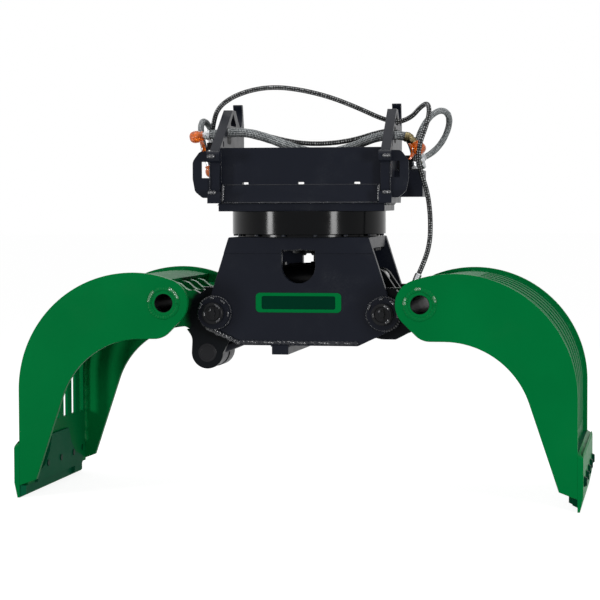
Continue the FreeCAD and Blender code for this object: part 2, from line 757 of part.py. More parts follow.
def jaw_nodes(name, flip, lever_sides):
    """Write all nodes of one jaw."""
    pieces = {
        "side_plates": side_plates(),
        "arm_plates": arm_plates(lever_sides),
        "cross_tube": [cross_tube()],
        "shell_sheet": shell_sheet(),
        "blade": [blade()],
        "blade_seat": [blade_seat(), backing_plate()],
        "inner_edge": [inner_edge()],
        "blade_bolts": blade_bolts(),
        "hub_tubes": hub_tubes(),
        "hub_bushes": hub_bushes(),
    }
    for piece, solids in pieces.items():
        save(name + "_" + piece, [flip(solid) for solid in solids])


# Sync rod and its seats
SYNC_SLOT_Y0 = -ARM_OUTER_Y + ARM_T
SYNC_SLOT_Y1 = -ARM_INNER_Y - ARM_T
SYNC_MID_Y = (SYNC_SLOT_Y0 + SYNC_SLOT_Y1) / 2
SYNC_LUG = polar(PIVOT_X, PIVOT_Z, SYNC_LUG_LEN, SYNC_LUG_DEG)
SYNC_START = Vector(-SYNC_X, 0, SYNC_Z)
SYNC_DIR = unit(SYNC_LUG - SYNC_START)
FORK_IN_Y = ARM_T / 2 + GAP * 2
FORK_NECK = SYNC_LUG_R + SYNC_ROD_R + FORK_LEN
FORK_ROOT = 40.0


def sync_lug():
    """Lug on the right hub that the fork of the rod straddles."""
    y0 = SYNC_MID_Y - ARM_T / 2
    root = HUB_R + SYNC_LUG_WALL
    lug = tangent_link(
        PIVOT_X, PIVOT_Z, root, SYNC_LUG.x, SYNC_LUG.z, SYNC_LUG_R, y0, y0 + ARM_T
    )
    lug = lug.cut(rod_y(HUB_R, PIVOT_X, PIVOT_Z, y0, y0 + ARM_T))
    return lug.cut(rod_y(SYNC_PIN_R + GAP, SYNC_LUG.x, SYNC_LUG.z, y0, y0 + ARM_T))


def sync_rod():
    """Rod with an eye at the left jaw and a fork at the right jaw's lug."""
    y0, y1 = SYNC_SLOT_Y0 + RUN_GAP, SYNC_SLOT_Y1 - RUN_GAP
    eye = rod_y(SYNC_EYE_R - SYNC_EYE_STEP, -SYNC_X, SYNC_Z, y0, y1)
    start = SYNC_START + Vector(0, SYNC_MID_Y, 0)
    length = (SYNC_LUG - SYNC_START).Length
    shank = Part.makeCylinder(SYNC_ROD_R, length - FORK_NECK, start, SYNC_DIR)
    fork = shank.fuse(eye).cut(
        rod_y(SYNC_PIN_R + PIN_RUN, -SYNC_X, SYNC_Z, SYNC_SLOT_Y0, SYNC_SLOT_Y1)
    )
    root = SYNC_START + SYNC_DIR * (length - FORK_NECK)
    tilt = math.degrees(math.atan2(SYNC_DIR.z, SYNC_DIR.x))
    half_y = FORK_IN_Y + FORK_T
    block = box(0, FORK_ROOT, -half_y, half_y, -FORK_HALF_H, FORK_HALF_H)
    block = block.rotated(Vector(0, 0, 0), Vector(0, 1, 0), -tilt)
    block = block.translated(Vector(root.x, SYNC_MID_Y, root.z))
    fork = fork.fuse(block)
    near = root + SYNC_DIR * FORK_NEAR
    for y0 in (SYNC_MID_Y - FORK_IN_Y - FORK_T, SYNC_MID_Y + FORK_IN_Y):
        cheek = tangent_link(
            near.x, near.z, FORK_HALF_H, SYNC_LUG.x, SYNC_LUG.z, FORK_CHEEK_R, y0, y0 + FORK_T
        )
        fork = fork.fuse(cheek)
    return fork.cut(rod_y(SYNC_PIN_R, SYNC_LUG.x, SYNC_LUG.z, -SIDE_Y, SIDE_Y)).removeSplitter()


def sync_fork_pins():
    """Pin ends pressed into the two cheeks of the fork."""
    stubs = []
    for side in (-1, 1):
        outer = FORK_IN_Y + FORK_T + FORK_PIN_OUT
        ends = [SYNC_MID_Y + side * (FORK_IN_Y + GAP), SYNC_MID_Y + side * outer]
        stubs.append(rod_y(SYNC_PIN_R, SYNC_LUG.x, SYNC_LUG.z, min(ends), max(ends)))
    return stubs


def sync_pin():
    """Pin through the left lever and the rod's eye, with a collar behind."""
    return rod_y(SYNC_PIN_R, -SYNC_X, SYNC_Z, -ARM_OUTER_Y - SYNC_PIN_OUT, SYNC_BOSS_BACK_Y)


def sync_boss():
    """Collar welded behind the inner lever plate."""
    y0 = -ARM_INNER_Y
    return tube_y(SYNC_EYE_R, SYNC_PIN_R, -SYNC_X, SYNC_Z, y0, SYNC_BOSS_BACK_Y)


CYL_MOUTH = -LEVER_X + BARREL_START + END_WALL + PISTON_LEN + STROKE + GLAND_LEN + 2 * GAP
CYL_HALF = ARM_INNER_Y - RUN_GAP


def cylinder_barrel():
    """Barrel with its eye on the left lever pin."""
    x0 = -LEVER_X
    start = x0 + BARREL_START
    body = rod_x(BARREL_R, 0, LEVER_Z, start, CYL_MOUTH)
    low, high = LEVER_Z - CYL_NECK_HALF_H, LEVER_Z + CYL_NECK_HALF_H
    neck = box(x0, start + END_WALL, -CYL_HALF, CYL_HALF, low, high)
    body = body.fuse(neck).fuse(rod_y(CYL_EYE_R, x0, LEVER_Z, -CYL_HALF, CYL_HALF))
    top = LEVER_Z + BARREL_R + PORT_RISE
    for x in (start + PORT_FROM_START, CYL_MOUTH - PORT_FROM_MOUTH):
        body = body.fuse(box(x - PORT_HALF, x + PORT_HALF, -PORT_HALF, PORT_HALF, LEVER_Z, top))
    body = body.cut(rod_x(BORE_R, 0, LEVER_Z, start + END_WALL, CYL_MOUTH))
    pin_hole = rod_y(LEVER_PIN_R + PIN_RUN, x0, LEVER_Z, -CYL_HALF, CYL_HALF)
    return body.cut(pin_hole).removeSplitter()


def cylinder_gland():
    """Gland in the mouth of the barrel, with a collar outside."""
    body = rod_x(BORE_R, 0, LEVER_Z, CYL_MOUTH - GLAND_LEN, CYL_MOUTH)
    end = CYL_MOUTH + GLAND_COLLAR_T
    body = body.fuse(rod_x(CYL_HALF, 0, LEVER_Z, CYL_MOUTH, end))
    return body.cut(rod_x(ROD_R + PIN_RUN, 0, LEVER_Z, CYL_MOUTH - GLAND_LEN, end))


def cylinder_rod():
    """Chromed rod, its eye on the right lever pin."""
    start = -LEVER_X + BARREL_START + END_WALL + GAP + PISTON_LEN
    rod = rod_x(ROD_R, 0, LEVER_Z, start, LEVER_X - ROD_EYE_IN)
    rod = rod.fuse(rod_y(CYL_EYE_R, LEVER_X, LEVER_Z, -CYL_HALF, CYL_HALF))
    pin_hole = rod_y(LEVER_PIN_R + PIN_RUN, LEVER_X, LEVER_Z, -CYL_HALF, CYL_HALF)
    return rod.cut(pin_hole).removeSplitter()


def cylinder_piston():
    """Piston on the end of the rod."""
    start = -LEVER_X + BARREL_START + END_WALL + GAP
    return rod_x(BORE_R - PIN_RUN, 0, LEVER_Z, start, start + PISTON_LEN)


def lever_pin():
    """Cylinder pin in the pair of lever plates, with a washer head."""
    y1 = ARM_INNER_Y + ARM_T
    pin = rod_y(LEVER_PIN_R, LEVER_X, LEVER_Z, -y1, y1 + LEVER_PIN_OUT)
    return pin.fuse(rod_y(LEVER_PIN_R + LEVER_HEAD_STEP, LEVER_X, LEVER_Z, y1, y1 + LEVER_HEAD_T))


def frame_corners():
    """Outline of the front and rear frame plates."""
    right = [
        (FRAME_TOP_X, FRAME_TOP_Z, FRAME_TOP_R),
        beside(PIVOT_X, PIVOT_Z, FRAME_SHOULDER),
        beside(PIVOT_X, PIVOT_Z, FRAME_CHEEK),
        beside(PIVOT_X, PIVOT_Z, FRAME_JAW),
        (FRAME_BOTTOM_X, FRAME_BOTTOM_Z, FRAME_BOTTOM_R),
    ]
    left = [(-x, z, r) for x, z, r in reversed(right)]
    return right + left


def window(y0, y1):
    """U-shaped window of the frame plates."""
    hole = rod_y(WINDOW_R, 0, WINDOW_Z, y0, y1)
    return hole.fuse(box(-WINDOW_R, WINDOW_R, y0, y1, WINDOW_Z, WINDOW_TOP_Z))


def frame_plate(side):
    """Front (-1) or rear (1) plate with window, hinge bores and a thicker band along the top."""
    y0, y1 = sorted((side * (FRAME_Y - FRAME_T), side * FRAME_Y))
    plate = plate_xz(frame_corners(), y0, y1)
    b0, b1 = sorted((side * FRAME_Y, side * (FRAME_Y + BAND_T)))
    band = plate_xz(frame_corners(), b0, b1).common(
        box(-FRAME_TOP_X * 2, FRAME_TOP_X * 2, b0, b1, BAND_Z, FRAME_TOP_Z)
    )
    plate = plate.fuse(band).removeSplitter()
    plate = plate.cut(window(-FRAME_Y * 2, FRAME_Y * 2))
    for x in (-PIVOT_X, PIVOT_X):
        plate = plate.cut(rod_y(PIN_R, x, PIVOT_Z, y0, y1))
    return plate


def frame_top():
    """Thick top plate between the frame plates, bored for the hose swivel."""
    y = FRAME_Y - FRAME_T
    plate = box(-FRAME_TOP_X, FRAME_TOP_X, -y, y, FRAME_TOP_Z - TOP_T, FRAME_TOP_Z)
    plate = plate.cut(rod_z(MANIFOLD_R, 0, 0, FRAME_TOP_Z - TOP_T, FRAME_TOP_Z))
    return plate.cut(rod_z(MOTOR_SHAFT_R + SHAFT_CLEAR, MOTOR_X, MOTOR_Y, FRAME_TOP_Z - TOP_T, FRAME_TOP_Z))


def frame_bosses():
    """Ring around each hinge bore, outside both plates."""
    rings = []
    for x in (-PIVOT_X, PIVOT_X):
        rings.append(tube_y(BOSS_R, PIN_R, x, PIVOT_Z, -FRAME_Y - BOSS_T, -FRAME_Y))
        rings.append(tube_y(BOSS_R, PIN_R, x, PIVOT_Z, FRAME_Y, FRAME_Y + BOSS_T))
    return rings


def frame_bar():
    """Bar welded across under the frame plates."""
    low = FRAME_BOTTOM_Z - BAR_H
    return box(BAR_X - BAR_W / 2, BAR_X + BAR_W / 2, -FRAME_Y, FRAME_Y, low, FRAME_BOTTOM_Z)


def frame_spacer():
    """Tube that ties the lower edges of the frame plates together."""
    y = FRAME_Y - FRAME_T
    return tube_y(SPACER_R, SPACER_R - SPACER_WALL, SPACER_X, SPACER_Z, -y, y)


def hinge_pin():
    """Hinge pin through frame, bosses and both hubs."""
    y = FRAME_Y + BOSS_T
    return rod_y(PIN_R, PIVOT_X, PIVOT_Z, -y, y)


def pin_caps():
    """Round cap over each end of the hinge pin."""
    y = FRAME_Y + BOSS_T
    caps = []
    for x in (-PIVOT_X, PIVOT_X):
        caps.append(rod_y(CAP_R, x, PIVOT_Z, -y - CAP_T, -y))
        caps.append(rod_y(CAP_R, x, PIVOT_Z, y, y + CAP_T))
    return caps


def cap_bolts():
    """Two bolt heads on each pin cap."""
    y = FRAME_Y + BOSS_T + CAP_T
    heads = []
    for x in (-PIVOT_X, PIVOT_X):
        for z in (PIVOT_Z - CAP_BOLT_Z, PIVOT_Z + CAP_BOLT_Z):
            heads.append(rod_y(CAP_BOLT_R, x, z, -y - CAP_BOLT_H, -y))
            heads.append(rod_y(CAP_BOLT_R, x, z, y, y + CAP_BOLT_H))
    return heads


# Slewing drive: the pinion on the frame runs inside the toothed ring of the adapter
GEAR_PITCH_R = TOOTH_MODULE * RING_TEETH / 2
PINION_PITCH_R = TOOTH_MODULE * PINION_TEETH / 2
MOTOR_X = (GEAR_PITCH_R - PINION_PITCH_R) * math.cos(math.radians(MOTOR_DEG))
MOTOR_Y = (GEAR_PITCH_R - PINION_PITCH_R) * math.sin(math.radians(MOTOR_DEG))
GEAR_TOP_Z = RING_TOP_Z


def toothed(x, y, z0, z1, pitch_r, teeth, inward, phase_deg, outward):
    """Solid disc with straight-sided teeth, inward deep and outward high from its pitch circle."""
    points = []
    step = 360.0 / teeth
    tooth = (
        (-TOOTH_FOOT, -inward), (-TOOTH_CREST, outward), (TOOTH_CREST, outward), (TOOTH_FOOT, -inward),
    )
    for i in range(teeth):
        for share, r in tooth:
            a = math.radians(phase_deg + (i + share) * step)
            points.append(Vector(x + (pitch_r + r) * math.cos(a), y + (pitch_r + r) * math.sin(a), z0))
    points.append(points[0])
    return Part.Face(Part.makePolygon(points)).extrude(Vector(0, 0, z1 - z0))


def slew_gear():
    """Toothed ring bolted under the adapter, inside the turntable."""
    z0 = GEAR_TOP_Z - GEAR_H
    rim = rod_z(GEAR_RIM_R, 0, 0, z0, GEAR_TOP_Z)
    hollow = toothed(
        0, 0, z0, GEAR_TOP_Z, GEAR_PITCH_R, RING_TEETH,
        TOOTH_MODULE * RING_TOOTH_TIP, MOTOR_DEG - ADAPTER_TURN_DEG, TOOTH_MODULE * RING_TOOTH_ROOT,
    )
    return rim.cut(hollow)


def slew_pinion():
    """Motor shaft with its pinion."""
    z1 = GEAR_TOP_Z - PINION_DROP
    z0 = z1 - GEAR_H + PINION_SHORT
    gear = toothed(
        MOTOR_X, MOTOR_Y, z0, z1, PINION_PITCH_R, PINION_TEETH,
        TOOTH_MODULE * PINION_TOOTH_ROOT, MOTOR_DEG, TOOTH_MODULE * PINION_TOOTH_TIP,
    )
    top = FRAME_TOP_Z - TOP_T
    return gear.fuse(rod_z(MOTOR_SHAFT_R, MOTOR_X, MOTOR_Y, top - SHAFT_IN, z0))


def turntable():
    """Inner ring of the slewing bearing on the frame's top plate."""
    foot = tube_z(TURNTABLE_R, HOLLOW_R, 0, 0, FRAME_TOP_Z, RING_BOTTOM_Z - GAP)
    drum = tube_z(RACE_R, DRUM_BORE_R, 0, 0, RING_BOTTOM_Z - GAP, RING_TOP_Z - DRUM_DROP)
    middle = (RING_BOTTOM_Z + RING_TOP_Z) / 2
    lip = tube_z(LIP_R, DRUM_BORE_R, 0, 0, middle - LIP_H / 2, middle + LIP_H / 2)
    return foot.fuse(drum).fuse(lip).removeSplitter()


def slew_housing():
    """Outer ring that carries the turntable on its groove."""
    middle = (RING_BOTTOM_Z + RING_TOP_Z) / 2
    body = rod_z(RING_R, 0, 0, RING_BOTTOM_Z, RING_TOP_Z)
    body = body.cut(rod_z(RACE_R + GAP, 0, 0, RING_BOTTOM_Z, RING_TOP_Z))
    groove = rod_z(LIP_R + GAP, 0, 0, middle - LIP_H / 2 - GAP, middle + LIP_H / 2 + GAP)
    return body.cut(groove)


def ring_bolts():
    """Bolt heads around the foot of the turntable."""
    heads = []
    top = FRAME_TOP_Z - TOP_T
    radius = TURNTABLE_R - RING_BOLT_R
    for i in range(RING_BOLT_COUNT):
        a = 2 * math.pi * (i + 0.5) / RING_BOLT_COUNT
        x = radius * math.cos(a)
        y = radius * math.sin(a)
        if abs(y) < FRAME_Y - FRAME_T - RING_BOLT_R * 2:
            heads.append(rod_z(RING_BOLT_R, x, y, top - RING_BOLT_H, top))
    return heads


def manifold():
    """Rotary hose swivel in the middle of the ring, held by the frame."""
    body = rod_z(MANIFOLD_R, 0, 0, FRAME_TOP_Z - TOP_T - MANIFOLD_DROP, RING_TOP_Z - DRUM_DROP)
    return body.fuse(rod_z(MANIFOLD_R + COLLAR_STEP, 0, 0, FRAME_TOP_Z, FRAME_TOP_Z + COLLAR_T))


def slew_motor():
    """Hydraulic slewing motor under the top plate."""
    top = FRAME_TOP_Z - TOP_T
    flange = top - MOTOR_FLANGE_T
    body = rod_z(MOTOR_R, MOTOR_X, MOTOR_Y, flange, top)
    body = body.fuse(rod_z(MOTOR_BODY_R, MOTOR_X, MOTOR_Y, top - MOTOR_LEN, flange))
    return body.cut(rod_z(MOTOR_SHAFT_R + PIN_RUN, MOTOR_X, MOTOR_Y, top - SHAFT_IN, top))


# Heights on the adapter, from the upper face of its base plate
SEAT_Z = RING_TOP_Z + BASE_T
WALL_TOP_Z = SEAT_Z + WALL_UP
WALL_BEND_Z = SEAT_Z + BEND_UP
EAR_KNEE_Z = SEAT_Z + EAR_KNEE_UP
LOCK_Z = EAR_KNEE_Z + LOCK_UP
PASSAGE_Z0 = SEAT_Z + PASSAGE_UP - PASSAGE_H / 2
PASSAGE_Z1 = PASSAGE_Z0 + PASSAGE_H
PRONG_TOP_Z = SEAT_Z + PASSAGE_UP + PRONG_RISE
CLAW_Z = SEAT_Z + CLAW_UP
CLAW_TOP_Z = CLAW_Z + CLAW_TIP_UP
BRACKET_Z0 = SEAT_Z + BRACKET_UP
BRACKET_Z1 = BRACKET_Z0 + BRACKET_H


def adapter_base():
    """Base plate on the slewing ring."""
    return box(-BASE_X, BASE_X, -BASE_Y, BASE_BACK_Y, RING_TOP_Z, RING_TOP_Z + BASE_T)


def front_wall():
    """Front wall: sloped skirt below, upright above, drain notches at the bend."""
    low = SEAT_Z
    corners = [
        (-BASE_Y, low, 0),
        (-BASE_Y - SKIRT_OUT, low + SKIRT_EDGE, 0),
        (-BASE_Y, WALL_BEND_Z, 0),
        (-BASE_Y, WALL_TOP_Z, 0),
        (-BASE_Y + WALL_T, WALL_TOP_Z, 0),
        (-BASE_Y + WALL_T, low, 0),
    ]
    wall = plate_yz(corners, -EAR_IN, EAR_IN)
    for x in (-NOTCH_X, 0, NOTCH_X):
        x0, x1 = x - NOTCH_W / 2, x + NOTCH_W / 2
        y0, y1 = -BASE_Y - SKIRT_OUT, -BASE_Y + WALL_T
        z0 = WALL_BEND_Z - NOTCH_DROP
        wall = wall.cut(box(x0, x1, y0, y1, z0, z0 + NOTCH_H))
    return wall


def rear_wall():
    """Lower wall across the back of the adapter."""
    low = SEAT_Z
    return box(-EAR_IN, EAR_IN, BASE_BACK_Y - WALL_T, BASE_BACK_Y, low, low + REAR_WALL_H)


def passage(x0, x1):
    """Rounded hole for the crossing hoses in the ears."""
    corners = [
        (PASSAGE_Y0, PASSAGE_Z0, PASSAGE_R),
        (PASSAGE_Y0, PASSAGE_Z1, PASSAGE_R),
        (PASSAGE_Y1, PASSAGE_Z1, PASSAGE_R),
        (PASSAGE_Y1, PASSAGE_Z0, PASSAGE_R),
    ]
    return plate_yz(corners, x0, x1)


def ear(side):
    """Coupler ear with claw, front prong and hose window."""
    low = SEAT_Z
    x0, x1 = sorted((side * EAR_IN, side * (EAR_IN + EAR_T)))
    bite = CLAW_R * CLAW_BITE
    corners = [
        (EAR_FRONT_Y, low, EAR_FRONT_R),
        (EAR_FRONT_Y, EAR_KNEE_Z, EAR_KNEE_R),
        (PRONG_Y, PRONG_TOP_Z, PRONG_R),
        (CLAW_Y - CLAW_R - SADDLE_BACK, PRONG_TOP_Z, SADDLE_R),
        (CLAW_Y - CLAW_R, CLAW_Z - SADDLE_DROP, 0),
        (CLAW_Y - bite, CLAW_Z - bite, 0),
        (CLAW_Y + bite, CLAW_Z - bite, 0),
        (CLAW_Y + CLAW_R, CLAW_Z, 0),
        (CLAW_Y + CLAW_R - CLAW_LIP, CLAW_TOP_Z, CLAW_LIP_R),
        (EAR_BACK_Y - TAIL_CUT, CLAW_TOP_Z, TAIL_CUT_R),
        (EAR_BACK_Y, CLAW_TOP_Z - TAIL_SLOPE, TAIL_R),
        (EAR_BACK_Y, low + TAIL_SLOPE, TAIL_R),
        (BASE_BACK_Y + FOOT_OUT, low, FOOT_R),
    ]
    plate = plate_yz(corners, x0, x1)
    plate = plate.cut(rod_x(CLAW_R, CLAW_Y, CLAW_Z, x0, x1))
    hole = [beside(0, PRONG_TOP_Z, corner) for corner in EAR_HOLE]
    plate = plate.cut(plate_yz(hole, x0, x1))
    plate = plate.cut(passage(x0, x1))
    return plate.cut(rod_x(LOCK_R, LOCK_Y, LOCK_Z, x0, x1))


def ear_bosses():
    """Round boss and square block on the front edge of each ear."""
    pieces = []
    low = SEAT_Z
    for side in (-1, 1):
        x0, x1 = sorted((side * (EAR_IN - EAR_BOSS_IN), side * (EAR_IN + EAR_T + EAR_BOSS_OUT)))
        y, z = EAR_FRONT_Y - EAR_BOSS_R, EAR_KNEE_Z - EAR_BOSS_DROP
        pieces.append(rod_x(EAR_BOSS_R, y, z, x0, x1))
        pieces.append(box(x0, x1, EAR_FRONT_Y - EAR_BLOCK_T, EAR_FRONT_Y, low, low + EAR_BLOCK_H))
    return pieces


def side_disc(side):
    """Rounded guard plate that faces the front beside each ear."""
    inner = side * (EAR_IN + EAR_T)
    y0 = EAR_FRONT_Y + GUARD_BACK
    corners = [(inner + side * x, SEAT_Z + z, r) for x, z, r in GUARD_OUTLINE]
    plate = plate_xz(corners, y0, y0 + GUARD_T)
    near, far, low, high = GUARD_HOLE
    x0, x1 = sorted((inner + side * near, inner + side * far))
    return plate.cut(box(x0, x1, y0, y0 + GUARD_T, SEAT_Z + low, SEAT_Z + high))


def coupling_box():
    """Bracket for the hose couplings beside the right ear."""
    x0 = EAR_IN + EAR_T
    wall = BRACKET_WALL
    shell = box(x0, BRACKET_X, BRACKET_Y0, BRACKET_Y1, BRACKET_Z0, BRACKET_Z1)
    y0, y1 = BRACKET_Y0 + wall, BRACKET_Y1 - wall
    return shell.cut(box(x0, BRACKET_X - wall, y0, y1, BRACKET_Z0 + wall, BRACKET_Z1 - wall))


def hose(name, corners, r):
    """Hose as straight runs with a tangent arc at each corner."""
    points = [Vector(*corner) for corner in corners]
    path = []
    start = points[0]
    tightest = math.inf
    for before, here, after in zip(points, points[1:], points[2:]):
        a = unit(before - here)
        b = unit(after - here)
        half_turn_angle = (math.pi - a.getAngle(b)) / 2
        reach = ARC_SHARE * min((before - here).Length, (after - here).Length)
        radius = reach / math.tan(half_turn_angle)
        tightest = min(tightest, radius)
        p0 = here + a * reach
        p1 = here + b * reach
        centre = here + unit(a + b) * (radius / math.cos(half_turn_angle))
        path.append(line(start, p0))
        path.append(Part.Arc(p0, centre + unit(here - centre) * radius, p1).toShape())
        start = p1
    path.append(line(start, points[-1]))
    wire = Part.Wire(path)
    profile = Part.Wire([Part.makeCircle(r, points[0], points[1] - points[0])])
    tube = wire.makePipeShell([profile], True, True)
    print(
        name, "tightest radius", round(tightest, 1), "length", round(wire.Length, 1),
        "volume share", round(tube.Volume / (math.pi * r * r * wire.Length), 4),
    )
    return tube


def fitting(corners, back, steps):
    """Turned fitting that carries on from one end of a hose. Steps are (length, radius)."""
    ends = (corners[-1], corners[-2]) if back else (corners[0], corners[1])
    at = Vector(*ends[0])
    way = unit(at - Vector(*ends[1]))
    body = None
    for length, r in steps:
        ring = Part.makeCylinder(r, length, at, way)
        body = ring if body is None else body.fuse(ring)
        at = at + way * length
    return body.removeSplitter(), at, way


def cap(at, way, r, length):
    """Dust cap: cup with a thicker rim, its far edge rounded."""
    body = Part.makeCylinder(r, length, at, way)
    far = [edge for edge in body.Edges if edge.Curve.TypeId == "Part::GeomCircle"]
    far.sort(key=lambda edge: -(edge.CenterOfMass - at).Length)
    return body.makeFillet(r * CAP_ROUND, far[:1])


def port_block(at, x, y0, y1, low, high):
    """Block outside the left ear that a hose end is screwed into."""
    return box(x, -EAR_IN - EAR_T, y0, y1, at.z + low, at.z + high)


def above_bracket(body):
    """The part of a fitting that stands on the coupling bracket."""
    return body.common(box(0, FAR, -FAR, FAR, BRACKET_Z1, FAR))


def left_ends():
    """Couplings, dust caps and port blocks on the left ear."""
    long_port, at, way = fitting(LONG_HOSE, False, LONG_PORT_STEPS)
    long_block = port_block(at, *LONG_BLOCK)
    sleeved, at, way = fitting(SLEEVED_HOSE, False, SLEEVED_LEFT_STEPS)
    sleeved_cap = cap(at, way, *LEFT_CAP)
    thin, at, way = fitting(THIN_HOSE, False, THIN_LEFT_STEPS)
    loop_front, at, way = fitting(LEFT_LOOP, False, LEFT_LOOP_CAP_STEPS)
    loop_cap = cap(at, way, *LOW_CAP)
    loop_rear, at, way = fitting(LEFT_LOOP, True, LEFT_LOOP_PORT_STEPS)
    loop_block = port_block(at, *LEFT_BLOCK)
    loop_rear = loop_rear.fuse(Part.makeCylinder(PORT_STUB_R, PORT_STUB_LEN, at, way)).cut(loop_block)
    couplings = [long_port.cut(long_block), sleeved, thin, loop_front, loop_rear]
    return couplings, [sleeved_cap, loop_cap], [long_block, loop_block]


def right_ends():
    """Couplings, dust cap and port block on the right ear."""
    long_end, at, way = fitting(LONG_HOSE, True, LONG_END_STEPS)
    sleeved, at, way = fitting(SLEEVED_HOSE, True, SLEEVED_RIGHT_STEPS)
    way = unit(Vector(*CAP_WAY))
    elbow = Part.makeSphere(ELBOW_R, at).fuse(Part.makeCylinder(ELBOW_R, ELBOW_LEN, at, way))
    elbow = elbow.fuse(sleeved).removeSplitter()
    elbow_cap = cap(at + way * ELBOW_LEN, way, *RIGHT_CAP)
    thin, at, way = fitting(THIN_HOSE, True, THIN_RIGHT_STEPS)
    loop_low, at, way = fitting(RIGHT_LOOP, False, RIGHT_LOOP_LOW_STEPS)
    loop_port, at, way = fitting(RIGHT_LOOP, True, RIGHT_LOOP_PORT_STEPS)
    out, y0, y1, high = RIGHT_BLOCK
    block = box(EAR_IN + EAR_T, at.x + out, y0, y1, BRACKET_Z1, BRACKET_Z1 + high)
    couplings = [long_end, elbow, above_bracket(thin), above_bracket(loop_low), loop_port.cut(block)]
    return couplings, [elbow_cap], [block]


def grommets(tubes):
    """Rubber fillers in the passages of the ears, bored for the hoses."""
    fillers = []
    for side in (-1, 1):
        x0, x1 = sorted((side * EAR_IN, side * (EAR_IN + EAR_T)))
        filler = passage(x0, x1)
        for tube in tubes:
            filler = filler.cut(tube)
        fillers.append(filler)
    return fillers


def main():
    os.makedirs("parts", exist_ok=True)
    jaw_nodes("right_jaw", lambda shape: shape, ())
    jaw_nodes("left_jaw", half_turn, (2, 3))
    save("right_sync_lug", [sync_lug()])
    save("left_sync_boss", [sync_boss()])
    save("sync_pin", [sync_pin()])
    save("sync_rod", [sync_rod()])
    save("sync_fork_pins", sync_fork_pins())
    save("cylinder_barrel", [cylinder_barrel(), cylinder_gland()])
    save("cylinder_rod", [cylinder_rod(), cylinder_piston()])
    save("right_lever_pin", [lever_pin()])
    save("left_lever_pin", [half_turn(lever_pin())])
    save("frame_front_plate", [frame_plate(-1)])
    save("frame_rear_plate", [frame_plate(1)])
    save("frame_top_plate", [frame_top()])
    save("frame_bosses", frame_bosses())
    save("frame_cross_bars", [frame_bar(), frame_spacer()])
    save("hinge_pins", [hinge_pin(), half_turn(hinge_pin())])
    save("pin_caps", pin_caps() + cap_bolts())
    save("turntable", [turntable()])
    save("ring_bolts", ring_bolts())
    save("hose_swivel", [manifold()])
    save("slew_motor", [slew_motor()])
    save("slew_pinion", [slew_pinion()])
    save("slew_gear", [turned(slew_gear())])
    save("slew_housing", [slew_housing()])
    save("adapter_base", [turned(adapter_base())])
    save("adapter_walls", [turned(front_wall()), turned(rear_wall())])
    save("adapter_ears", [turned(piece) for piece in [ear(-1), ear(1)] + ear_bosses()])
    save("adapter_guard_plates", [turned(side_disc(-1)), turned(side_disc(1))])
    save("coupling_bracket", [turned(coupling_box())])
    sleeved = hose("sleeved hose", SLEEVED_HOSE, SLEEVE_R)
    thin = hose("thin hose", THIN_HOSE, THIN_R)
    save("hose_cross_sleeved", [turned(sleeved)])
    save("hose_cross_thin", [turned(thin)])
    save("hose_long", [turned(hose("long hose", LONG_HOSE, THIN_R))])
    save("hose_right_loop_sleeved", [turned(hose("right loop", RIGHT_LOOP, LOOP_R))])
    save("hose_left_loop_sleeved", [turned(hose("left loop", LEFT_LOOP, LOOP_R))])
    left, right = left_ends(), right_ends()
    for node, here, there in zip(("hose_couplings", "hose_caps", "hose_port_blocks"), left, right):
        save(node, [turned(piece) for piece in here + there])
    save("hose_grommets", [turned(piece) for piece in grommets([sleeved, thin])])
    print("closing angle", round(CLOSE_DEG, 3), "stroke", round(STROKE, 2))


main()
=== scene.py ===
"""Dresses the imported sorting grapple: paint, welds, hoses, fittings, caps, lamps and camera."""

import json
import logging
import math
from dataclasses import dataclass, field
from enum import Enum

import bmesh
import bpy
import numpy as np
from mathutils import Matrix, Vector

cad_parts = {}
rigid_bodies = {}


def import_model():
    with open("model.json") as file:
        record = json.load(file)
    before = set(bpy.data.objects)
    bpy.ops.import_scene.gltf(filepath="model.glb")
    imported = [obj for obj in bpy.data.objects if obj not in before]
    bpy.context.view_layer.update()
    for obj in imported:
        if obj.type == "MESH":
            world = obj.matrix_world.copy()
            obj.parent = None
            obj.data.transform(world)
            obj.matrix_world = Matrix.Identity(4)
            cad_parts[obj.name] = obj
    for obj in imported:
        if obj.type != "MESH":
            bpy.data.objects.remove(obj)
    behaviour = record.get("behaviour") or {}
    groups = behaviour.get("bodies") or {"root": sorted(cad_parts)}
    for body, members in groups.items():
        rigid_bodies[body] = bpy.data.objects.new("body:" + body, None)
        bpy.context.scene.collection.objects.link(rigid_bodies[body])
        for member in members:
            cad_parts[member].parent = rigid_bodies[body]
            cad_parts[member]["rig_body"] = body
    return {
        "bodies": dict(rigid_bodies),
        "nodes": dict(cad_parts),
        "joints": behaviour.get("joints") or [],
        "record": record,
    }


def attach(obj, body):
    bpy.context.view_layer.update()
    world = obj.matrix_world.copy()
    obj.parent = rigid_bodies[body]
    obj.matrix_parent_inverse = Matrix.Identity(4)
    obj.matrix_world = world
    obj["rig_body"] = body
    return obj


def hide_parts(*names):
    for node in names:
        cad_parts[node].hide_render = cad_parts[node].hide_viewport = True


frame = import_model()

LOG = logging.getLogger("grapple")
MM = 0.001
TURN = math.radians(4.0)
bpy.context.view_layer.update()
# Places in mm that several pieces share: jaw hinges, cross bores, outer side of the jaws, frame plates
HINGE_X, HINGE_Z = 300.0, 650.0
BORE_X, BORE_Z = 446.6, 691.0
JAW_SIDE_Y = 360.0
FRAME_OUT_Y, FRAME_IN_Y = 209.0, 184.0


class Body(str, Enum):
    """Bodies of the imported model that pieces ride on."""

    ADAPTER = "adapter"
    FRAME = "frame"
    LEFT = "left_jaw"
    RIGHT = "right_jaw"


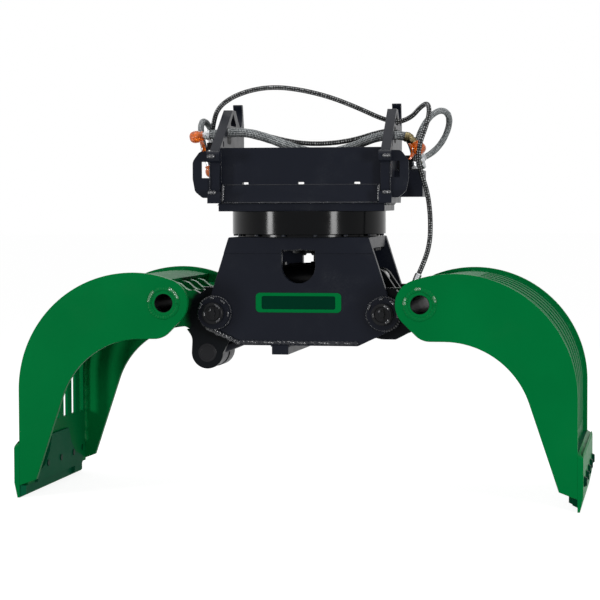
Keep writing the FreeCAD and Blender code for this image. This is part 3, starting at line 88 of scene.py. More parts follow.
class Slot(str, Enum):
    """Material slots of the record."""

    DARK = "dark_blue_paint"
    GREEN = "green_paint"
    BLACK = "black_paint"
    STEEL = "bright_steel"
    HOSE = "grey_hose"
    SLEEVE = "grey_sleeve"
    ORANGE = "orange_plastic"


# Shader expressions


class Wire:
    """One shader socket; arithmetic on it adds Math nodes."""

    def __init__(self, shader: "Shader", socket: bpy.types.NodeSocket) -> None:
        """Keeps the shader and the socket."""
        self.shader = shader
        self.socket = socket

    def math(self, operation: str, *others: "Wire | float") -> "Wire":
        """Adds one Math node with this socket first."""
        values = dict(enumerate((self, *others)))
        return self.shader.node("Math", {"operation": operation}, values)

    def __add__(self, other: "Wire | float") -> "Wire":
        """Sum."""
        return self.math("ADD", other)

    __radd__ = __add__

    def __mul__(self, other: "Wire | float") -> "Wire":
        """Product."""
        return self.math("MULTIPLY", other)

    __rmul__ = __mul__

    def __sub__(self, other: "Wire | float") -> "Wire":
        """Difference."""
        return self.math("SUBTRACT", other)

    def __rsub__(self, other: float) -> "Wire":
        """A number minus this."""
        return self.shader.node("Math", {"operation": "SUBTRACT"}, {0: other, 1: self})

    def __truediv__(self, other: "Wire | float") -> "Wire":
        """Quotient."""
        return self.math("DIVIDE", other)

    def step(self, low: float, high: float) -> "Wire":
        """Smooth 0 to 1 between low and high, also where low is the larger."""
        flip = low > high
        ends = (high, low) if flip else (low, high)
        out = self.shader.node(
            "MapRange",
            {"interpolation_type": "SMOOTHSTEP"},
            {"Value": self, "From Min": ends[0], "From Max": ends[1]},
        )
        return 1.0 - out if flip else out


class Shader:
    """A material and the one method that adds its nodes."""

    def __init__(self, name: str) -> None:
        """Starts an empty node material with an output."""
        self.material = bpy.data.materials.new(name)
        self.material.use_nodes = True
        self.tree = self.material.node_tree
        self.tree.nodes.clear()
        self.out = self.tree.nodes.new("ShaderNodeOutputMaterial")

    def node(self, kind: str, settings: dict, values: dict, outlet: "int | str" = 0) -> Wire:
        """Adds a node.

        Args:
            kind: node type without the ShaderNode prefix.
            settings: attributes set first; "stops" fills a colour ramp.
            values: numbers or wires by input name or number.
            outlet: output to hand back.

        Returns:
            The wire of that output.
        """
        node = self.tree.nodes.new("ShaderNode" + kind)
        for key, value in settings.items():
            if key == "stops":
                ramp = node.color_ramp.elements
                while len(ramp) < len(value):
                    ramp.new(0.5)
                for element, (place, colour) in zip(ramp, value):
                    element.position = place
                    element.color = (*colour, 1.0)
            else:
                setattr(node, key, value)
        for key, value in values.items():
            target = node.inputs[key]
            if isinstance(value, Wire):
                self.tree.links.new(value.socket, target)
            else:
                target.default_value = value
        return Wire(self, node.outputs[outlet])

    def place(self) -> Wire:
        """Object coordinates."""
        return self.node("TexCoord", {}, {}, "Object")

    def noise(self, place: Wire, scale: float, detail: float = 3.0) -> Wire:
        """Noise value at a scale in cycles per metre."""
        return self.node("TexNoise", {}, {"Vector": place, "Scale": scale, "Detail": detail})

    def mix(self, factor: "Wire | float", first: "Wire | tuple", second: "Wire | tuple") -> Wire:
        """Colour between two colours."""
        pair = [v if isinstance(v, Wire) else (*v, 1.0) for v in (first, second)]
        return self.node(
            "Mix", {"data_type": "RGBA"}, {"Factor": factor, 6: pair[0], 7: pair[1]}, 2
        )

    def bump(self, height: Wire, strength: float, distance: float) -> Wire:
        """Normal from a height."""
        return self.node(
            "Bump", {}, {"Strength": strength, "Distance": distance, "Height": height}
        )

    def surface(self, values: dict) -> bpy.types.Material:
        """Ends the material in a principled shader with these inputs."""
        wire = self.node("BsdfPrincipled", {}, values)
        self.tree.links.new(wire.socket, self.out.inputs["Surface"])
        return self.material


def rgb(red: float, green: float, blue: float) -> tuple:
    """Linear colour of a screen colour of 0 to 255."""
    return tuple(
        (v / 12.92 if v <= 0.04045 else ((v + 0.055) / 1.055) ** 2.4)
        for v in (red / 255, green / 255, blue / 255)
    )


DARK_PAINT = rgb(18, 21, 30)
GREEN_PAINT = rgb(0, 106, 51)
# Places sprayed over in dark paint: (x, z, radius, both sides) in metres
ARM_SPOTS = (
    (0.300, 0.650, 0.094, True), (0.2493, 0.7588, 0.070, True), (0.2746, 0.704, 0.066, True),
    (-0.335, 0.507, 0.085, False), (-0.3175, 0.578, 0.075, False),
)
# Painted shade: the inside of each cross tube's bore is painted near black, over its real dark unpainted
# steel
BORE_SHADE_SPOTS = ((0.4466, 0.691, 0.0320, True),)
# Half outline of the stepped plate behind a blade's nuts, (y, z) in mm
SEAT_HALF = ((262.0, 43.0), (262.0, 72.0), (182.0, 95.0), (128.0, 140.0), (98.0, 196.0))
# Corners that a softened copy moves, in mm: |x| from, |x| to, |y|, z, new |y|, new z
BLADE_MOVES = (
    (975, 977, 318, 195, 352, 195), (975, 977, 360, 153, 360, 187), (990, 992, 318, 195, 350, 186),
    (994, 996, 322, 191, 353, 182), (994, 996, 360, 153, 360, 175),
)


@dataclass(frozen=True)
class Paint:
    """Sprayed paint with faint orange peel and dust, and round places in another colour: dark paint
    sprayed over round the hubs, and painted shade inside the bores.

    A spot is (x, z, radius, both sides) in metres, read along the Y direction.
    """

    name: str
    colour: tuple
    roughness: float = 0.36
    specular: float = 0.1
    coat: float = 0.0
    peel: float = 0.05
    dust: float = 0.12
    spots: tuple = ()
    spot_colour: tuple = DARK_PAINT
    spot_blur: float = 0.030
    spot_noise: float = 0.045

    def away(self, sh: Shader, at: Wire) -> Wire:
        """Distance outside the nearest spot: the least of sqrt(dx dx + dz dz) - radius."""
        split = sh.node("SeparateXYZ", {}, {"Vector": at})
        z = Wire(sh, split.socket.node.outputs[2])
        wander = (sh.noise(at, 24.0, 4.0) - 0.5) * self.spot_noise
        nearest = None
        for x0, z0, radius, both in self.spots:
            dx = (split.math("ABSOLUTE") if both else split) - x0
            dz = z - z0
            edge = (dx * dx + dz * dz).math("SQRT") - radius
            nearest = edge if nearest is None else nearest.math("MINIMUM", edge)
        return nearest + wander

    def make(self) -> bpy.types.Material:
        """Builds the material.

        Returns:
            Paint whose colour turns into the spot colour inside its spots.
        """
        sh = Shader(self.name)
        at = sh.place()
        cloud = sh.noise(at, 3.0, 3.0)
        shade = tuple(c * 0.94 for c in self.colour)
        light = tuple(min(1.0, c * 1.05) for c in self.colour)
        colour = sh.mix(cloud.step(0.3, 0.7), shade, light)
        if self.spots:
            inside = self.away(sh, at).step(self.spot_blur, 0.0)
            colour = sh.mix(inside, colour, self.spot_colour)
        film = sh.noise(at, 7.0, 5.0).step(0.5, 0.85) * sh.noise(at, 380.0, 2.0).step(0.35, 0.75)
        colour = sh.mix(film * self.dust, colour, rgb(120, 124, 126))
        rough = sh.noise(at, 14.0, 5.0) * 0.16 + (self.roughness - 0.08)
        grain = sh.noise(at, 700.0, 1.0) + sh.noise(at, 60.0, 2.0) * 2.0
        return sh.surface(
            {
                "Base Color": colour,
                "Roughness": rough,
                "Specular IOR Level": self.specular,
                "Coat Weight": self.coat,
                "Coat Roughness": 0.12,
                "Normal": sh.bump(grain, self.peel, 0.0006),
            }
        )


@dataclass(frozen=True)
class Metal:
    """Plated, drawn or chromed metal with fine scratches."""

    name: str
    colour: tuple
    roughness: float = 0.3
    stain: float = 0.3
    eye: tuple = ()

    def make(self) -> bpy.types.Material:
        """Builds the metal with stains and a fine grain; inside the eye (x, z, radius) it is painted."""
        sh = Shader(self.name)
        at = sh.place()
        cloud = sh.noise(at, 60.0, 4.0).step(0.35, 0.7)
        dull = tuple(c * (1.0 - self.stain) for c in self.colour)
        grain = sh.noise(at, 900.0, 2.0)
        colour, bare = sh.mix(cloud, dull, self.colour), 1.0
        if self.eye:
            split = sh.node("SeparateXYZ", {}, {"Vector": at})
            dx = split.math("ABSOLUTE") - self.eye[0]
            dz = Wire(sh, split.socket.node.outputs[2]) - self.eye[1]
            bare = (dx * dx + dz * dz).math("SQRT").step(self.eye[2], self.eye[2] + 0.004)
            colour = sh.mix(bare, rgb(17, 18, 21), colour)
        return sh.surface(
            {
                "Base Color": colour,
                "Metallic": bare,
                "Roughness": cloud * -0.1 + (self.roughness + 0.06),
                "Normal": sh.bump(grain, 0.12, 0.0004),
            }
        )


@dataclass(frozen=True)
class Braid:
    """Woven cover of a hose, read from the hose's own map: metres along, turns around."""

    name: str
    dark: tuple
    light: tuple
    pitch: float
    strands: float
    cover: float
    roughness: float = 0.75

    def make(self) -> bpy.types.Material:
        """Builds the weave: two crossing sets of strands, their product lifts every other one."""
        sh = Shader(self.name)
        uv = sh.node("UVMap", {"uv_map": "route"}, {})
        split = sh.node("SeparateXYZ", {}, {"Vector": uv})
        around = Wire(sh, split.socket.node.outputs[1]) * (self.strands * math.tau)
        along = split * (math.tau / self.pitch)
        first = (along + around).math("SINE")
        second = (along - around).math("SINE")
        weave = first * second
        at = sh.place()
        fleck = weave + (sh.noise(at, 210.0, 3.0) - 0.5) * 3.2
        colour = sh.mix(fleck.step(self.cover - 0.35, self.cover + 0.35), self.dark, self.light)
        grime = sh.noise(at, 22.0, 4.0).step(0.4, 0.75) * 0.35
        colour = sh.mix(grime, colour, self.dark)
        return sh.surface(
            {
                "Base Color": colour,
                "Roughness": self.roughness,
                "Specular IOR Level": 0.3,
                "Normal": sh.bump(weave, 0.6, 0.0011),
            }
        )


@dataclass(frozen=True)
class Plastic:
    """Clear moulded plastic with faint clouding."""

    name: str
    colour: tuple
    clear: float = 0.35

    def make(self) -> bpy.types.Material:
        """Builds the plastic."""
        sh = Shader(self.name)
        at = sh.place()
        cloud = sh.noise(at, 70.0, 3.0)
        deep = tuple(c * 0.6 for c in self.colour)
        return sh.surface(
            {
                "Base Color": sh.mix(cloud.step(0.35, 0.7), deep, self.colour),
                "Roughness": cloud * 0.12 + 0.05,
                "Transmission Weight": self.clear,
                "IOR": 1.47,
                "Normal": sh.bump(sh.noise(at, 160.0, 2.0), 0.1, 0.001),
            }
        )


@dataclass(frozen=True)
class Rubber:
    """Matt black rubber."""

    name: str

    def make(self) -> bpy.types.Material:
        """Builds the rubber with a dusty bloom."""
        sh = Shader(self.name)
        at = sh.place()
        bloom = sh.noise(at, 40.0, 4.0).step(0.45, 0.8)
        return sh.surface(
            {
                "Base Color": sh.mix(bloom, rgb(22, 22, 23), rgb(48, 48, 48)),
                "Roughness": 0.8,
                "Normal": sh.bump(sh.noise(at, 500.0, 2.0), 0.2, 0.0005),
            }
        )


@dataclass(frozen=True)
class Finishes:
    """Every finish of the grapple, made once."""

    dark: bpy.types.Material
    dark_weld: bpy.types.Material
    ring: bpy.types.Material
    green: bpy.types.Material
    dark_bright_weld: bpy.types.Material
    green_weld: bpy.types.Material
    green_bright_weld: bpy.types.Material
    sheet: bpy.types.Material
    seat: bpy.types.Material
    arm: bpy.types.Material
    tube: bpy.types.Material
    field: bpy.types.Material
    black: bpy.types.Material
    iron: bpy.types.Material
    steel: bpy.types.Material
    chrome: bpy.types.Material
    bronze: bpy.types.Material
    olive: bpy.types.Material
    rubber: bpy.types.Material
    hose: bpy.types.Material
    sleeve: bpy.types.Material
    orange: bpy.types.Material

    @classmethod
    def make(cls) -> "Finishes":
        """Builds all materials."""
        return cls(
            dark=Paint("blue_black_paint", DARK_PAINT).make(),
            dark_weld=Paint("blue_black_weld", DARK_PAINT, 0.2, 0.32, dust=0.0).make(),
            ring=Paint("ring_paint", rgb(4, 5, 7), 0.14, 0.1, peel=0.008, dust=0.0).make(),
            green=Paint("emerald_paint", GREEN_PAINT, 0.38, 0.02, peel=0.04, dust=0.02).make(),
            dark_bright_weld=Paint("blue_black_gloss", DARK_PAINT, 0.16, 0.85, dust=0.0).make(),
            green_weld=Paint("emerald_weld", GREEN_PAINT, 0.34, 0.04, dust=0.0).make(),
            green_bright_weld=Paint("emerald_gloss", GREEN_PAINT, 0.12, 1.0, dust=0.0).make(),
            # Painted shade: the back sheet, blade seats and inner edge bars inside the jaws are painted
            # darker greens than the outside plates
            sheet=Paint("emerald_inside_shade", rgb(0, 98, 50), 0.42, 0.008, peel=0.03, dust=0.03).make(),
            seat=Paint("emerald_seat_shade", rgb(10, 82, 55), 0.45, 0.008, peel=0.03, dust=0.05).make(),
            arm=Paint(
                "emerald_oversprayed", GREEN_PAINT, 0.34, 0.06, dust=0.04,
                spots=ARM_SPOTS, spot_colour=rgb(12, 15, 18),
            ).make(),
            # Painted shade: near black inside the cross tubes' bores
            tube=Paint(
                "emerald_bore_shade", GREEN_PAINT, 0.34, 0.04, dust=0.0,
                spots=BORE_SHADE_SPOTS, spot_colour=rgb(9, 10, 12), spot_blur=0.0015, spot_noise=0.0,
            ).make(),
            field=Paint("badge_field", rgb(0, 46, 30), 0.4, 0.02, dust=0.0).make(),
            black=Paint("black_satin", rgb(17, 18, 21), 0.34, 0.16).make(),
            iron=Metal("phosphated_steel", rgb(64, 66, 70), 0.42).make(),
            steel=Metal("zinc_plate", rgb(196, 198, 200), 0.3).make(),
            chrome=Metal("hard_chrome", rgb(205, 207, 210), 0.12, 0.1, eye=(0.2493, 0.7588, 0.05)).make(),
            bronze=Metal("bush_bronze", rgb(176, 132, 84), 0.35).make(),
            olive=Metal("olive_plate", rgb(132, 120, 88), 0.38).make(),
            rubber=Rubber("black_rubber").make(),
            hose=Braid("woven_hose", rgb(12, 13, 14), rgb(184, 186, 187), 0.017, 3, 0.6).make(),
            sleeve=Braid("woven_sleeve", rgb(72, 76, 78), rgb(190, 194, 195), 0.011, 7, 0.2, 0.85).make(),
            orange=Plastic("orange_plastic", rgb(255, 128, 34), 0.55).make(),
        )

    def of_slot(self, slot: str) -> bpy.types.Material:
        """Material that stands for one of the record's slots."""
        return {
            "dark_blue_paint": self.dark,
            "green_paint": self.green,
            "black_paint": self.black,
            "dark_steel": self.iron,
            "bright_steel": self.steel,
            "chrome_steel": self.chrome,
            "bronze": self.bronze,
            "black_rubber": self.rubber,
            "grey_hose": self.hose,
            "grey_sleeve": self.sleeve,
            "orange_plastic": self.orange,
        }[slot]


# Meshes from parametric surfaces


def add_piece(
    name: str, mesh: bpy.types.Mesh, material: bpy.types.Material, sharp: float = 35.0
) -> bpy.types.Object:
    """Links a mesh as a smooth-shaded piece.

    Args:
        name: name of the piece.
        mesh: its mesh, already in place.
        material: its finish.
        sharp: angle in degrees past which an edge stays sharp.

    Returns:
        The new object.
    """
    mesh.materials.clear()
    mesh.materials.append(material)
    mesh.shade_smooth()
    mesh.set_sharp_from_angle(angle=math.radians(sharp))
    piece = bpy.data.objects.new(name, mesh)
    bpy.context.scene.collection.objects.link(piece)
    return piece


def grid_mesh(name: str, grids: list, wrap_rows: bool = False) -> bpy.types.Mesh:
    """Joins closed-around grids of points into one mesh.

    Each grid has shape (rows, columns, 3) and closes around its columns. Faces join
    neighbours (i, j), (i, j+1), (i+1, j+1), (i+1, j), with indices taken modulo the count.

    Args:
        name: name of the mesh.
        grids: arrays of points in metres.
        wrap_rows: whether the last row joins the first.

    Returns:
        A mesh with its poles merged and its faces pointing outwards.
    """
    points, faces, base = [], [], 0
    for grid in grids:
        rows, cols = grid.shape[:2]
        i, j = np.meshgrid(np.arange(rows - (not wrap_rows)), np.arange(cols), indexing="ij")
        a, b = (i * cols + j), (i * cols + (j + 1) % cols)
        c, d = ((i + 1) % rows * cols + (j + 1) % cols), ((i + 1) % rows * cols + j)
        faces.append(np.stack([a, b, c, d], -1).reshape(-1, 4) + base)
        points.append(grid.reshape(-1, 3))
        base += rows * cols
    mesh = bpy.data.meshes.new(name)
    mesh.from_pydata(np.concatenate(points).tolist(), [], np.concatenate(faces).tolist())
    work = bmesh.new()
    work.from_mesh(mesh)
    bmesh.ops.remove_doubles(work, verts=work.verts, dist=1e-6)
    bmesh.ops.recalc_face_normals(work, faces=work.faces)
    work.to_mesh(mesh)
    work.free()
    return mesh


def frame_of(way: np.ndarray) -> tuple:
    """Two unit vectors across a direction."""
    way = way / np.linalg.norm(way)
    helper = np.array([0.0, 0.0, 1.0]) if abs(way[2]) < 0.9 else np.array([0.0, 1.0, 0.0])
    across = np.cross(helper, way)
    across /= np.linalg.norm(across)
    return across, np.cross(way, across)


def lathe(start: np.ndarray, way: np.ndarray, profile: list, segments: int = 48) -> np.ndarray:
    """Turned surface round an axis, with hexagonal stretches.

    A point is start + way h + r f(t) (a cos t + b sin t), where f is 1 on round stretches and
    the hexagon's 1 / cos(t mod 60 deg - 30 deg) on stretches whose third entry is 1.

    Args:
        start: axis start in metres.
        way: axis direction.
        profile: rows (h, r, hexagon) in millimetres.
        segments: points around.

    Returns:
        Grid of points.
    """
    rows = np.array([(*row, 0.0)[:3] for row in profile])
    way = way / np.linalg.norm(way)
    across, up = frame_of(way)
    t = np.arange(segments) * math.tau / segments
    corner = 1.0 / np.cos(np.mod(t, math.tau / 6) - math.tau / 12)
    factor = 1.0 + rows[:, 2:3] * (corner - 1.0)
    radius = (rows[:, 1:2] * MM * factor)[..., None]
    ring = across * np.cos(t)[:, None] + up * np.sin(t)[:, None]
    return start + way * rows[:, 0, None, None] * MM + radius * ring


def bead(
    line: np.ndarray, side: np.ndarray, up: np.ndarray, half: float, high: float,
    pitch: float = 9.0, loop: bool = False,
) -> np.ndarray:
    """Weld bead along a line.

    Round section with half axes half and high, scaled along the line by 1 plus a small wave
    that lags at the middle, so the ripples are crescents; it tapers to a point at open ends.

    Args:
        line: points in millimetres.
        side: unit vectors along the width, one or one per point.
        up: unit vectors out of the joint.
        half: half width in millimetres.
        high: height above the joint in millimetres.
        pitch: ripple length in millimetres.
        loop: whether the line closes.

    Returns:
        Grid of points in metres.
    """
    side = np.broadcast_to(side, line.shape)
    up = np.broadcast_to(up, line.shape)
    if loop:
        line, side, up = (np.concatenate([v, v[:1]]) for v in (line, side, up))
    travel = np.concatenate([[0.0], np.cumsum(np.linalg.norm(np.diff(line, axis=0), axis=1))])
    count = max(8, int(travel[-1] / 1.7))
    s = np.linspace(0.0, travel[-1], count, endpoint=not loop)
    pick = lambda v: np.stack([np.interp(s, travel, v[:, k]) for k in range(3)], -1)
    centre, across, out = pick(line), pick(side), pick(up)
    t = np.arange(14) * math.tau / 14
    wobble = 0.16 * np.sin(s / 23.0) + 0.12 * np.sin(s / 7.3 + 1.0) + 0.10 * np.sin(s / 3.9 + 2.0)
    wave = 0.24 * np.cos(math.tau * (s[:, None] / pitch - 0.45 * np.sin(t)))
    scale = 1.0 + wave + wobble[:, None]
    if not loop:
        ends = np.clip(np.minimum(s, travel[-1] - s) / (1.2 * half), 0.0, 1.0)
        scale = scale * np.sqrt(1.0 - (1.0 - ends[:, None]) ** 2)
    wide = (half * np.cos(t) * scale)[..., None] * across[:, None]
    tall = (high * np.sin(t) * scale)[..., None] * out[:, None]
    return (centre[:, None] + wide + tall) * MM


def turned(points: np.ndarray) -> np.ndarray:
    """Points of the adapter turned with it about the slewing axis."""
    c, s = math.cos(TURN), math.sin(TURN)
    return points @ np.array([[c, s, 0.0], [-s, c, 0.0], [0.0, 0.0, 1.0]])


def ring_line(centre: tuple, radius: float, arc: tuple = (0.0, 360.0), count: int = 96) -> tuple:
    """Circle or arc round the Y direction: its points and its outward unit vectors."""
    t = np.radians(np.linspace(*arc, count, endpoint=False))
    out = np.stack([np.cos(t), np.zeros(count), np.sin(t)], -1)
    return np.array(centre) + radius * out, out


# CAD pieces


@dataclass
class SteelWork:
    """The machined and flame-cut pieces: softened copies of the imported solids."""

    finishes: Finishes
    edge: float = 1.4
    small_edge: float = 0.7
    small: tuple = ("bolts", "caps", "pins", "bushes", "swivel")
    plain: tuple = ("slew_gear", "slew_pinion")
    sprayed: tuple = (
        "sync_pin", "sync_fork_pins", "left_lever_pin", "right_lever_pin", "hose_swivel", "slew_motor",
    )
    hoses: tuple = ("hose_long", "hose_cross", "hose_right", "hose_left", "hose_coupl", "hose_caps")
    bolt_pitch: float = 0.15
    bolt_z: float = 0.097
    seat_x: tuple = (0.952, 0.940)
    sheet_x: float = 0.960
    blade_x: float = 0.995

    def material(self, node: str, slot: str) -> bpy.types.Material:
        """Finish of one node."""
        if node in ("slew_housing", "turntable"):
            return self.finishes.ring
        if node.endswith(("arm_plates", "hub_tubes")):
            return self.finishes.arm
        if node.endswith("cross_tube"):
            return self.finishes.tube
        # Painted shade: the sheet and seat finishes inside the jaws are darker greens
        if node.endswith("shell_sheet"):
            return self.finishes.sheet
        if node.endswith(("blade_seat", "inner_edge")):
            return self.finishes.seat
        if node.endswith("blade_bolts"):
            return self.finishes.field
        return self.finishes.of_slot(slot)

    def slot_of(self, node: str, slot: str) -> str:
        """Material slot a node is finished in: most pins and fasteners were sprayed over."""
        if node.endswith("blade_bolts"):
            return Slot.GREEN.value
        return Slot.BLACK.value if node in self.sprayed else slot

    def draw_in(self, at: Vector, share: float) -> float:
        """Draws a point towards the axis of its blade bolt and tells where across the jaw that axis is."""
        axis = round(at.y / self.bolt_pitch) * self.bolt_pitch
        at.y, at.z = axis + (at.y - axis) * share, self.bolt_z + (at.z - self.bolt_z) * share
        return axis

    def reshape(self, node: str, at: Vector) -> None:
        """Lower nuts and bolt heads, and squarer blade corners."""
        x, y, nut_x = abs(at.x), abs(at.y), self.seat_x[1]
        if node.endswith("blade_bolts"):
            if x < nut_x + 0.0002:
                outer = abs(self.draw_in(at, 0.62)) > 0.28
                at.x = math.copysign((self.sheet_x if outer else nut_x) - (nut_x - x) * 0.25, at.x)
            elif x > self.blade_x + 0.0005:
                self.draw_in(at, 0.72)
                at.x = math.copysign(self.blade_x + (x - self.blade_x) * 0.75, at.x)
        moves = BLADE_MOVES if node.endswith("_blade") else ()
        for low, high, from_y, from_z, to_y, to_z in moves:
            off = max(abs(y / MM - from_y), abs(at.z / MM - from_z))
            if low < x / MM < high and off < 1.5:
                at.y, at.z = math.copysign(to_y * MM, at.y), to_z * MM
                break

    def stepped_plate(self, work: bmesh.types.BMesh) -> None:
        """Puts the stepped plate in place of a seat's inner plate: one outline carried across it."""
        old = [v for v in work.verts if 0.939 < abs(v.co.x) < 0.953]
        side = math.copysign(1.0, old[0].co.x)
        bmesh.ops.delete(work, geom=old, context="VERTS")
        outline = list(SEAT_HALF) + [(-y, z) for y, z in reversed(SEAT_HALF)]
        back, front = (
            [work.verts.new((side * x, y * MM, z * MM)) for y, z in outline] for x in self.seat_x
        )
        faces = [work.faces.new(back), work.faces.new(front)]
        for i in range(len(outline)):
            j = (i + 1) % len(outline)
            faces.append(work.faces.new((back[i], back[j], front[j], front[i])))
        bmesh.ops.recalc_face_normals(work, faces=faces)

    def soften(
        self, node: str, source: bpy.types.Object, material: bpy.types.Material
    ) -> bpy.types.Object:
        """Copy of a node with merged corners and a small bevel along its sharp edges."""
        mesh = source.data.copy()
        work = bmesh.new()
        work.from_mesh(mesh)
        if node.endswith("blade_seat"):
            self.stepped_plate(work)
        for vert in work.verts:
            self.reshape(node, vert.co)
        bmesh.ops.remove_doubles(work, verts=work.verts, dist=2e-6)
        bmesh.ops.dissolve_limit(
            work, angle_limit=math.radians(0.6), verts=work.verts, edges=work.edges
        )
        work.to_mesh(mesh)
        work.free()
        piece = add_piece(node + "_finished", mesh, material)
        bevel = piece.modifiers.new("edges", "BEVEL")
        bevel.width = (self.small_edge if node.endswith(self.small) else self.edge) * MM
        bevel.segments = 2
        bevel.limit_method = "ANGLE"
        bevel.angle_limit = math.radians(32.0)
        bevel.harden_normals = True
        return piece

    def build(self, packed: dict) -> None:
        """Dresses every node that is not a hose or a fitting."""
        slots = {row["node"]: row["material_slot"] for row in packed["record"]["subparts"]}
        for node, source in sorted(packed["nodes"].items()):
            if node.startswith(self.hoses):
                continue
            slot = self.slot_of(node, slots[node])
            material = self.material(node, slot)
            if node in self.plain:
                source.data.materials.clear()
                source.data.materials.append(material)
                continue
            piece = self.soften(node, source, material)
            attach(piece, source["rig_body"])
            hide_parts(node)
            LOG.info("steel work %s", node)


# Welds and small details


@dataclass
class Welds:
    """Weld beads along the joints of plates and tubes, one piece per body and paint."""

    finishes: Finishes
    # Patches along the frame's foot: from x, to x, rise of the first end
    patches: tuple = (
        (-176, -150, 4), (-128, -84, 2), (-78, -60, 7), (-40, -8, 5), (-2, 30, 1), (44, 58, 6),
        (70, 116, 2), (128, 142, 5), (160, 186, 1),
    )
    # Bright stretches round a hinge: from degree, to degree, radius, |y|
    glints: tuple = (
        (38, 64, 52, 231), (86, 104, 52, 231), (-14, 8, 52, 231), (140, 166, 52, 231),
        (30, 80, 30, 246), (170, 200, 30, 246), (96, 150, 14, 254), (290, 330, 31, 246),
    )
    groups: dict = field(default_factory=dict)

    def add(self, body: Body, paint: str, grid: np.ndarray) -> None:
        """Keeps a bead for its body and paint."""
        self.groups.setdefault((body, paint), []).append(grid)

    def bore_rings(self) -> None:
        """Ring of weld round each end of the cross tubes."""
        arcs = {Body.LEFT: ((128, 178), (14, 72)), Body.RIGHT: ((6, 34), (84, 112), (152, 184))}
        for body, x in ((Body.LEFT, -BORE_X), (Body.RIGHT, BORE_X)):
            for y in (-JAW_SIDE_Y, JAW_SIDE_Y):
                line, out = ring_line((x, y, BORE_Z), 50.0)
                up = np.array([0.0, math.copysign(1.0, y), 0.0])
                self.add(body, "green", bead(line, out, up, 7.0, 2.2, loop=True)[:-1])
                for arc in arcs[body]:
                    line, out = ring_line((x, y, BORE_Z), 53.5, arc)
                    self.add(body, "green_bright", bead(line, out, up, 5.0, 3.8, pitch=8.0))

    def boss_rings(self) -> None:
        """Ring of weld round the hinge bosses on the frame plates."""
        for x in (-HINGE_X, HINGE_X):
            for y in (-FRAME_OUT_Y, FRAME_OUT_Y):
                line, out = ring_line((x, y, HINGE_Z), 57.0)
                up = np.array([0.0, math.copysign(1.0, y), 0.0])
                self.add(Body.FRAME, "dark", bead(line, out, up, 6.0, 7.0, loop=True)[:-1])
                for start, end, reach, far in self.glints:
                    line, out = ring_line((x, math.copysign(far, y), HINGE_Z), reach, (start, end))
                    self.add(Body.FRAME, "dark_bright", bead(line, out, up, 4.0, 3.2, pitch=12.0))

    def frame_edges(self) -> None:
        """Beads along the frame's lower edge, beside the cross bar and under the top plate."""
        above = np.array([0, 0, 1.0])
        for y in (-FRAME_OUT_Y - 1.0, FRAME_OUT_Y + 1.0):
            out = np.array([0.0, math.copysign(1.0, y), 0.0])
            foot = [(-338, 598), (-214, 541), (0, 541), (214, 541), (338, 598)]
            low = np.array([(x, y, z) for x, z in foot], float)
            slope = bead(low[:2] + [5, 0, 3], np.array([0.42, 0, 0.9]), out, 9.0, 7.0, 6.0)
            self.add(Body.FRAME, "dark_bright", slope)
            self.add(Body.FRAME, "dark", bead(low[1:4] + [0, 0, 7], above, out, 6.0, 3.0, 16.0))
            for start, end, rise in self.patches:
                patch = np.array([(start, y, 547 + rise), (end, y, 546)], float)
                self.add(Body.FRAME, "dark_bright", bead(patch, above, out, 3.6, 4.4, 11.0))
            for x in (-95.5, -36.5):
                bar = np.array([(x, -205, 537), (x, 205, 537)], float)
                self.add(Body.FRAME, "dark", bead(bar, np.array([1.0, 0, 0]), -above, 6.0, 5.0))
        for y in (-FRAME_IN_Y, FRAME_IN_Y):
            seam = np.array([(-244, y, 875), (244, y, 875)], float)
            way = np.array([0.0, -math.copysign(0.7, y), -0.7])
            self.add(Body.FRAME, "dark", bead(seam, np.array([0.0, 0.7, 0.7]), way, 7.0, 6.0))

    def adapter_seams(self) -> None:
        """Beads where walls, ears and base plate meet, turned with the adapter."""
        seams, bright = [], "dark_bright"
        for side in (-1, 1):
            x, lean = side * 280.0, side * 0.7
            seams += [
                (
                    [(side * 273, -268, 1040), (side * 274, -247, 1102)],
                    (1, 0, 0), (0, -0.9, 0.2), 6.5, bright,
                ),
                ([(side * 288, -317, 1196), (side * 318, -317, 1196)], (0, 0, 1), (0, -1, 0), 6, bright),
                ([(side * 286, -303, 1072), (side * 318, -303, 1072)], (0, 0, 1), (0, -1, 0), 6, bright),
                ([(x, -243, 1104), (x, -243, 1222)], (0, 1, 0), (-lean, -0.7, 0), 5),
                ([(side * 290, -236, 1034), (side * 290, 210, 1034)], (0.7, 0, 0.7), (lean, 0, -0.7), 6),
                ([(x, -215, 1036), (x, 190, 1036)], (0.7, 0, 0.7), (-lean, 0, 0.7), 6),
                ([(side * 314, -275, 1060), (side * 314, -275, 1212)], (0, 1, 0), (lean, 0.7, 0), 5),
            ]
        seams += [
            ([(-278, -263, 1038), (278, -263, 1038)], (0, 0.7, 0.7), (0, -0.8, 0.2), 4),
            ([(-279, -241.5, 1099), (279, -241.5, 1099)], (0, 0, 1), (0, -1, 0), 1.6),
            ([(-276, -220, 1036), (276, -220, 1036)], (0, 0.7, 0.7), (0, 0.7, 0.7), 6),
            ([(-276, 194, 1036), (276, 194, 1036)], (0, 0.7, -0.7), (0, -0.7, 0.7), 6),
        ]
        for points, side_way, up, half, paint in ((*seam, "dark")[:5] for seam in seams):
            line = turned(np.array(points, float))
            across = turned(np.array(side_way, float) / np.linalg.norm(side_way))
            out = turned(np.array(up, float) / np.linalg.norm(up))
            self.add(Body.ADAPTER, paint, bead(line, across, out, half, half * 0.8))

